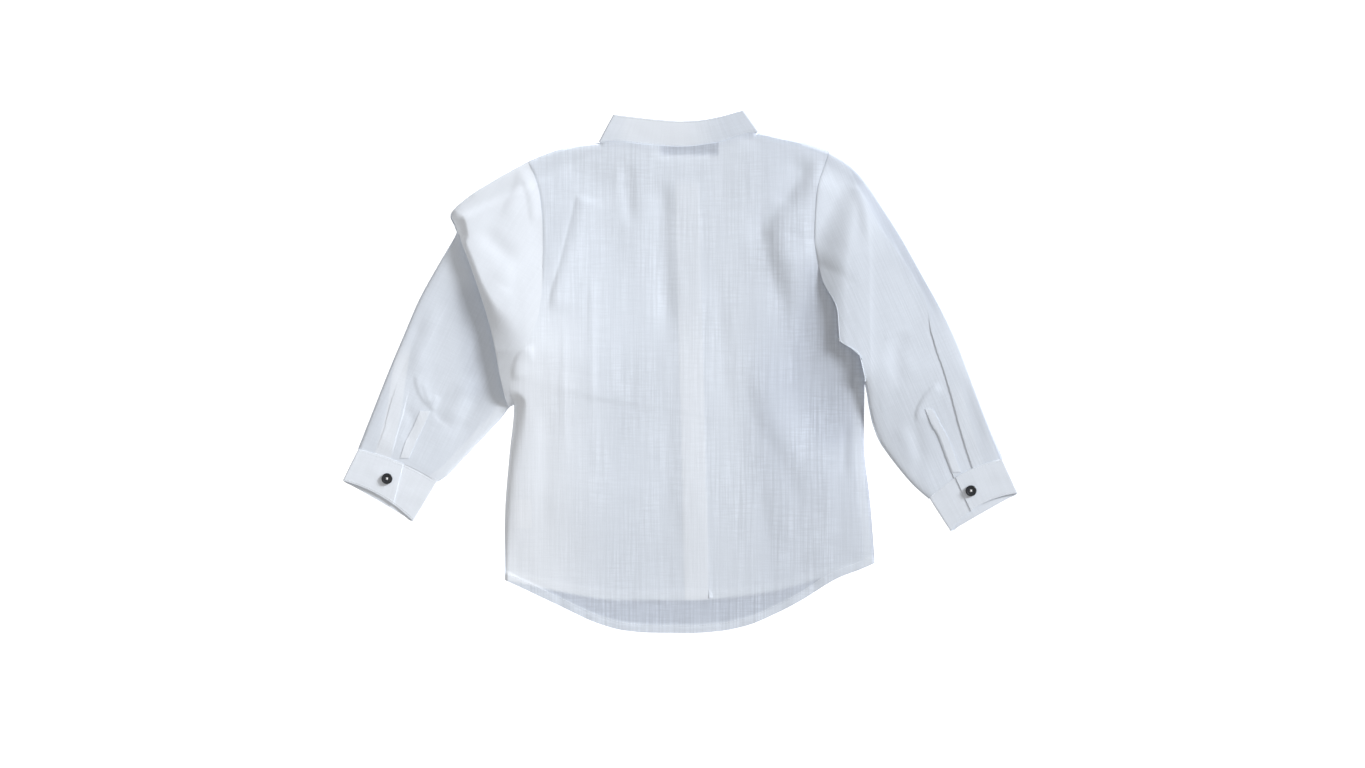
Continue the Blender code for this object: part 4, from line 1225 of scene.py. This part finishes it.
def capsules(name, items, sides=6):
    """Joined short rods with round ends: (start, end, radius) in mm."""
    verts, quads = [], []
    for start, end, radius in items:
        p, q = np.asarray(start, float), np.asarray(end, float)
        axis = q - p
        length = np.linalg.norm(axis)
        axis /= length
        side = np.cross(axis, (0, 0, 1.0))
        if np.linalg.norm(side) < 1e-3:
            side = np.array((1.0, 0, 0))
        side /= np.linalg.norm(side)
        up = np.cross(side, axis)
        base = len(verts)
        rings = ((0.0, 0.35), (0.12, 0.9), (0.5, 1.08), (0.88, 0.9), (1.0, 0.35))
        for t, scale in rings:
            c = p + axis * length * t
            for k in range(sides):
                a = 2 * math.pi * k / sides
                verts.append(c + radius * scale * (side * math.cos(a)
                                                   + up * math.sin(a)))
        for k in range(len(rings) - 1):
            for i in range(sides):
                j = (i + 1) % sides
                a, b = base + k * sides + i, base + k * sides + j
                quads.append((a, b, b + sides, a + sides))
        for k, rev in ((0, True), (len(rings) - 1, False)):
            ring = [base + k * sides + i for i in range(sides)]
            halves = ((ring[0], ring[1], ring[2], ring[3]),
                      (ring[0], ring[3], ring[4], ring[5]))
            quads += [h[::-1] if rev else h for h in halves]
    v = np.array(verts)
    obj = mesh_object(name, v, np.array(quads), None, None, 0)
    # plan points run s down, so the winding turns over
    obj.data.flip_normals()
    return obj


def stitch_line(points, surface_z, pitch=3.0, length=2.1, radius=0.17,
                above=0.06, side=1):
    """Stitches along plan points, lying on a surface height function."""
    p = np.asarray(points, float)
    d = np.concatenate([[0], np.cumsum(np.hypot(*np.diff(p, axis=0).T))])
    n = int(d[-1] / pitch)
    out = []
    for k in range(n):
        a = (k + 0.15) * pitch
        b = min(a + length, d[-1])
        pa = [np.interp(a, d, p[:, c]) for c in (0, 1)]
        pb = [np.interp(b, d, p[:, c]) for c in (0, 1)]
        out.append(((*pa, surface_z(*pa) + above * side),
                    (*pb, surface_z(*pb) + above * side), radius))
    return out


# ------------------------------------------------------------------ materials
def node(tree, kind, **values):
    n = tree.nodes.new(kind)
    for k, v in values.items():
        setattr(n, k, v)
    return n


def cloth_material(name, single, double, dense, weave, bump, rough=0.88,
                   sheen=0.12, slub=1.0):
    """Slub cotton: uneven warp and weft from the cloth's own flat sizes.

    The colour follows how many layers lie under the cloth, and also the painted shade and painted light laid
    into the same attribute."""
    m = bpy.data.materials.new(name)
    m.use_nodes = True
    t = m.node_tree
    t.nodes.clear()
    link = t.links.new
    out = node(t, "ShaderNodeOutputMaterial")
    b = node(t, "ShaderNodeBsdfPrincipled")
    b.inputs["Roughness"].default_value = rough
    b.inputs["Sheen Weight"].default_value = sheen
    b.inputs["Sheen Roughness"].default_value = 0.5
    b.inputs["Specular IOR Level"].default_value = 0.22
    link(b.outputs[0], out.inputs[0])
    uv = node(t, "ShaderNodeUVMap", uv_map="Grain")

    def noise(scale_x, scale_y, detail, lo, hi, seed):
        mp = node(t, "ShaderNodeMapping")
        mp.inputs["Scale"].default_value = (scale_x, scale_y, 1)
        mp.inputs["Location"].default_value = (seed, seed * 0.37, 0)
        nz = node(t, "ShaderNodeTexNoise", noise_dimensions="2D")
        nz.inputs["Scale"].default_value = 1.0
        nz.inputs["Detail"].default_value = detail
        nz.inputs["Roughness"].default_value = 0.6
        rg = node(t, "ShaderNodeMapRange")
        rg.inputs["From Min"].default_value = lo
        rg.inputs["From Max"].default_value = hi
        link(uv.outputs[0], mp.inputs[0])
        link(mp.outputs[0], nz.inputs["Vector"])
        link(nz.outputs["Fac"], rg.inputs["Value"])
        return rg.outputs["Result"]

    def math_(op, a, c):
        n = node(t, "ShaderNodeMath", operation=op)
        for k, v in ((0, a), (1, c)):
            if isinstance(v, (int, float)):
                n.inputs[k].default_value = v
            else:
                link(v, n.inputs[k])
        return n.outputs[0]

    warp = noise(430, 15, 1.0, 0.33, 0.67, 3.1)
    warp2 = noise(190, 6, 0.0, 0.30, 0.70, 8.4)
    weft = noise(38, 420, 1.0, 0.33, 0.67, 5.7)
    weft2 = noise(30, 190, 0.0, 0.30, 0.70, 1.9)
    yarn = noise(1300, 110, 0.0, 0.3, 0.7, 2.2)
    pick = noise(120, 1200, 0.0, 0.3, 0.7, 6.6)
    patches = noise(26, 13, 1.0, 0.32, 0.68, 4.4)
    # thick warp threads show most; where they cross thick wefts a dot forms
    v = math_("ADD", math_("MULTIPLY", warp, 0.46 * slub),
              math_("MULTIPLY", weft, 0.14 * slub))
    v = math_("ADD", v, math_("MULTIPLY", warp2, 0.09 * slub))
    v = math_("ADD", v, math_("MULTIPLY", weft2, 0.03 * slub))
    v = math_("ADD", v, math_("MULTIPLY", math_("MULTIPLY", warp, weft),
                              0.26 * slub))
    fine = math_("ADD", math_("MULTIPLY", yarn, 0.5), math_("MULTIPLY", pick, 0.5))
    v2 = math_("ADD", v, math_("MULTIPLY", fine, 0.26))
    centred = math_("SUBTRACT", v2, 0.425 * slub + 0.13)
    uneven = math_("ADD", math_("MULTIPLY", patches, 1.1), 0.45)
    centred = math_("MULTIPLY", centred, uneven)
    dens = node(t, "ShaderNodeAttribute", attribute_name="dens")
    ramp = node(t, "ShaderNodeValToRGB")
    ramp.color_ramp.elements[0].position = 0.0
    ramp.color_ramp.elements[0].color = (*single, 1)
    ramp.color_ramp.elements[1].position = 1.0
    ramp.color_ramp.elements[1].color = (*dense, 1)
    e = ramp.color_ramp.elements.new(0.5)
    e.color = (*double, 1)
    link(dens.outputs["Fac"], ramp.inputs["Fac"])
    # thin places, and places darkened by painted shade, show the weave more
    amount = node(t, "ShaderNodeMapRange")
    amount.inputs["From Min"].default_value = 0.0
    amount.inputs["From Max"].default_value = 0.9
    amount.inputs["To Min"].default_value = weave * 2.3
    amount.inputs["To Max"].default_value = weave * 0.45
    link(dens.outputs["Fac"], amount.inputs["Value"])
    shown = node(t, "ShaderNodeAttribute", attribute_name="weave")
    amount = math_("MULTIPLY", amount.outputs["Result"], shown.outputs["Fac"])
    factor = math_("ADD", math_("MULTIPLY", centred, amount), 1.0)
    tint = node(t, "ShaderNodeVectorMath", operation="SCALE")
    link(ramp.outputs["Color"], tint.inputs[0])
    link(factor, tint.inputs["Scale"])
    link(tint.outputs["Vector"], b.inputs["Base Color"])
    bp = node(t, "ShaderNodeBump")
    bp.inputs["Strength"].default_value = bump
    bp.inputs["Distance"].default_value = 0.0004
    link(v2, bp.inputs["Height"])
    link(bp.outputs["Normal"], b.inputs["Normal"])
    return m


def plain_material(name, colour, rough, coat=0.0, bump=0.0, scale=600.0,
                   variation=0.0):
    m = bpy.data.materials.new(name)
    m.use_nodes = True
    t = m.node_tree
    b = t.nodes["Principled BSDF"]
    b.inputs["Roughness"].default_value = rough
    b.inputs["Coat Weight"].default_value = coat
    b.inputs["Coat Roughness"].default_value = 0.12
    co = node(t, "ShaderNodeTexCoord")
    nz = node(t, "ShaderNodeTexNoise")
    nz.inputs["Scale"].default_value = scale
    nz.inputs["Detail"].default_value = 3.0
    t.links.new(co.outputs["Object"], nz.inputs["Vector"])
    ramp = node(t, "ShaderNodeValToRGB")
    lo = tuple(max(0, c * (1 - variation)) for c in colour)
    hi = tuple(min(1, c * (1 + variation)) for c in colour)
    ramp.color_ramp.elements[0].position = 0.35
    ramp.color_ramp.elements[1].position = 0.65
    ramp.color_ramp.elements[0].color = (*lo, 1)
    ramp.color_ramp.elements[1].color = (*hi, 1)
    t.links.new(nz.outputs["Fac"], ramp.inputs["Fac"])
    t.links.new(ramp.outputs["Color"], b.inputs["Base Color"])
    if bump:
        bp = node(t, "ShaderNodeBump")
        bp.inputs["Strength"].default_value = bump
        bp.inputs["Distance"].default_value = 0.0002
        t.links.new(nz.outputs["Fac"], bp.inputs["Height"])
        t.links.new(bp.outputs["Normal"], b.inputs["Normal"])
    return m


SINGLE = (0.585, 0.640, 0.738)
DOUBLE = (0.735, 0.795, 0.884)
DENSE = (0.872, 0.918, 0.985)
COTTON = cloth_material("slub_cotton", SINGLE, DOUBLE, DENSE, 0.085, 0.10)
PRESSED = cloth_material("pressed_cotton", SINGLE, DOUBLE, DENSE, 0.045, 0.10,
                         slub=0.8)
THREAD = plain_material("sewing_thread", (0.78, 0.82, 0.86), 0.7,
                        variation=0.04, bump=0.3, scale=2400)
BUTTON = plain_material("button_finish", (0.012, 0.015, 0.021), 0.26, coat=0.5,
                        variation=0.35, bump=0.05, scale=900)
BUTTON_THREAD = plain_material("button_thread", (0.90, 0.91, 0.92), 0.8,
                               variation=0.10, bump=0.4, scale=3000)
RIBBON = plain_material("label_ribbon", (0.80, 0.82, 0.85), 0.55,
                        variation=0.03, bump=0.1, scale=1500)


def place(obj, material, slot, *replaced):
    obj.data.materials.clear()
    obj.data.materials.append(material)
    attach(obj, "root")
    if replaced:
        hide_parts(*replaced)
    return obj


# ---------------------------------------------------------------- build it all
def main():
    back, (back_plan, back_z) = back_piece()
    place(back, COTTON, "cloth", "back")
    right, (r_plan, r_z) = sleeve_right_piece()
    place(right, COTTON, "cloth", "sleeve_right")
    left, (l_plan, l_z, cap, z_cap) = sleeve_left_piece()
    place(left, COTTON, "cloth", "sleeve_left")
    fronts = front_pieces()
    for obj, plan in fronts:
        place(obj, COTTON, "cloth", obj.name.replace("_cloth", ""))
    placket = band_piece("front_placket", 0.0)
    place(placket, PRESSED, "cloth_double", "front_placket")
    stand = band_piece("button_stand", 0.66)
    place(stand, PRESSED, "cloth_double", "button_stand")
    collar, collar_grid = collar_piece()
    place(collar, PRESSED, "cloth_double", "collar_band")
    cuff_l, cl = cuff_piece("cuff_left_cloth", l_plan[-1], (342.4, 480.4),
                            (414, 522), 6.0, (0.55, 0.68), (0.33, 0.42))
    place(cuff_l, PRESSED, "cloth_double", "cuff_left")
    cuff_r, cr = cuff_piece("cuff_right_cloth", r_plan[-1], (1018.4, 493),
                            (950, 531.8), 8.6, (0.60, 0.64), (0.42, 0.47))
    place(cuff_r, PRESSED, "cloth_double", "cuff_right")
    s_left, s_right = Surface(l_plan, l_z), Surface(r_plan, r_z)
    slit_l = slit_piece("slit_left_cloth", LEFT_SLIT, s_left, 0.82)
    place(slit_l, PRESSED, "cloth_double", "sleeve_placket_left")
    # painted shade: the right slit binding is painted darker than the left one
    slit_r = slit_piece("slit_right_cloth", RIGHT_SLIT, s_right, 0.66)
    place(slit_r, PRESSED, "cloth_double", "sleeve_placket_right")

    # buttons
    shape = button_mesh()
    threads = []
    places = []
    for (name, e, s), grid in zip(CUFF_BUTTONS, (cl, cr)):
        top = grid[0].reshape(-1, 3)
        up = top[(grid[1].reshape(-1, 3)[:, 2] > 0.9)]
        d = np.hypot(up[:, 0] - e, up[:, 1] - s)
        z = up[d < BUTTON_D / 2][:, 2].max()
        places.append((name, e, s, z - 0.05, 1))
    for k, s in enumerate(FRONT_BUTTON_S):
        places.append((f"front_button_{k + 1}", float(placket_middle(s)), s,
                       0.02, -1))
    for name, e, s, z, way in places:
        obj = bpy.data.objects.new(name + "_turned", shape.copy())
        bpy.context.scene.collection.objects.link(obj)
        if way < 0:
            obj.rotation_euler = (math.pi, 0, 0)
            z = z + BUTTON_H
        obj.location = ((e - E0) / 1000, (S0 - s) / 1000, z / 1000)
        place(obj, BUTTON, "button", name)
        top = z + way * 0.74 * BUTTON_H
        for a in (0.25, 0.75):
            c, q = 1.4 * math.cos(a * math.pi), 1.4 * math.sin(a * math.pi)
            for off in (-0.26, 0.26):
                oc, os_ = -off * math.sin(a * math.pi), off * math.cos(a * math.pi)
                threads.append(((e - c + oc, s - q + os_, top),
                                (e + c + oc, s + q + os_, top + 0.05), 0.28))
    t = capsules("button_threads", threads)
    place(t, BUTTON_THREAD, "cloth")

    # blank care label between the layers
    e0, e1, s0, s1 = LABEL
    le, ls = np.meshgrid(np.linspace(e0, e1, 20), np.linspace(s0, s1, 30))
    lz = 1.35 + 0.15 * np.sin((ls - s0) / 28 * math.pi * 1.4)
    label = shell("care_label_ribbon", [
        (np.stack([le, ls, lz + 0.25], -1), 0.25,
         np.stack([le, -ls], -1), {"dens": np.full(le.shape, 0.9)})])
    place(label, RIBBON, "label", "care_label")
    stitches(back_plan, back_z, r_plan, r_z, l_plan, l_z, cl, cr, collar_grid)
    stage_and_light()


def stitches(back_plan, back_z, r_plan, r_z, l_plan, l_z, cl, cr, collar_grid):
    items = []
    back_top = Surface(back_plan, back_z)
    e = np.linspace(506.5, 873.5, 180)
    hem = np.stack([e, curve_at(BACK_HEM, e)], -1)
    tang = np.gradient(hem, axis=0)
    tang /= np.linalg.norm(tang, axis=1)[:, None]
    up = np.stack([tang[:, 1], -tang[:, 0]], -1)
    items += stitch_line(hem + up * 7.4, back_top.at, 2.9, 2.0, 0.16)
    out = capsules("hem_stitches", items)
    place(out, THREAD, "cloth")

    # topstitching on the bands, near both long edges
    items = []
    for top, normal, t in (cl, cr, collar_grid):
        for f in (0.07, 0.93):
            col = int(round(f * (top.shape[1] - 1)))
            line = top[:, col] + normal[:, col] * 0.04
            d = np.concatenate([[0], np.cumsum(np.linalg.norm(
                np.diff(line, axis=0), axis=1))])
            for k in range(int(d[-1] / 2.9)):
                a, b = k * 2.9 + 0.3, k * 2.9 + 2.3
                if b > d[-1]:
                    break
                pa = [np.interp(a, d, line[:, c]) for c in range(3)]
                pb = [np.interp(b, d, line[:, c]) for c in range(3)]
                items.append((pa, pb, 0.14))
    out = capsules("band_stitches", items)
    place(out, THREAD, "cloth_double")


def stage_and_light():
    bpy.ops.mesh.primitive_plane_add(size=8, location=(0, 0, -0.0002))
    floor = bpy.context.object
    floor.name = "floor"
    m = bpy.data.materials.new("white_ground")
    m.use_nodes = True
    b = m.node_tree.nodes["Principled BSDF"]
    b.inputs["Base Color"].default_value = (0.80, 0.80, 0.80, 1)
    b.inputs["Roughness"].default_value = 0.9
    b.inputs["Specular IOR Level"].default_value = 0.1
    b.inputs["Emission Color"].default_value = (1, 1, 1, 1)
    b.inputs["Emission Strength"].default_value = 0.85
    floor.data.materials.append(m)

    world = bpy.data.worlds.new("studio")
    bpy.context.scene.world = world
    world.use_nodes = True
    bg = world.node_tree.nodes["Background"]
    bg.inputs[0].default_value = (1.0, 0.968, 0.93, 1)
    bg.inputs[1].default_value = 0.43

    sun = bpy.data.lights.new("window", "SUN")
    sun.energy = 4.1
    sun.angle = math.radians(18)
    sun.color = (0.955, 0.975, 1.0)
    key = bpy.data.objects.new("window", sun)
    az, el = math.radians(31), math.radians(16.5)
    way = Vector((math.cos(az) * math.cos(el), math.sin(az) * math.cos(el),
                  math.sin(el)))
    key.rotation_mode = "QUATERNION"
    key.rotation_quaternion = way.to_track_quat("Z", "Y")
    key.location = way * 3
    bpy.context.scene.collection.objects.link(key)

    # more of the same light towards the left
    beam = bpy.data.lights.new("window_left", "SPOT")
    beam.energy = 1500
    beam.shadow_soft_size = 0.5
    beam.spot_size = math.radians(8)
    beam.spot_blend = 1.0
    beam.color = (0.98, 0.985, 1.0)
    spot = bpy.data.objects.new("window_left", beam)
    spot.rotation_mode = "QUATERNION"
    spot.rotation_quaternion = way.to_track_quat("Z", "Y")
    spot.location = Vector((-0.42, -0.14, 0)) + way * 6
    bpy.context.scene.collection.objects.link(spot)

    soft = bpy.data.lights.new("soft_fill", "AREA")
    soft.energy = 0.6
    soft.size = 0.9
    soft.color = (1.0, 0.98, 0.95)
    fill = bpy.data.objects.new("soft_fill", soft)
    fill.location = (-1.0, 0.1, 0.75)
    fill.rotation_mode = "QUATERNION"
    fill.rotation_quaternion = (fill.location - Vector((-0.15, 0, 0))
                                ).to_track_quat("Z", "Y")
    bpy.context.scene.collection.objects.link(fill)

    cam = bpy.data.cameras.new("camera")
    cam.sensor_width = 36
    height = 2.6
    cam.lens = 36 * height / 1.365
    obj = bpy.data.objects.new("camera", cam)
    obj.location = ((682.5 - E0) / 1000, (S0 - 384.0) / 1000, height)
    obj.rotation_euler = (0, 0, 0)
    bpy.context.scene.collection.objects.link(obj)
    bpy.context.scene.camera = obj
    bpy.context.scene.view_settings.view_transform = "Standard"
    bpy.context.scene.view_settings.look = "None"


main()
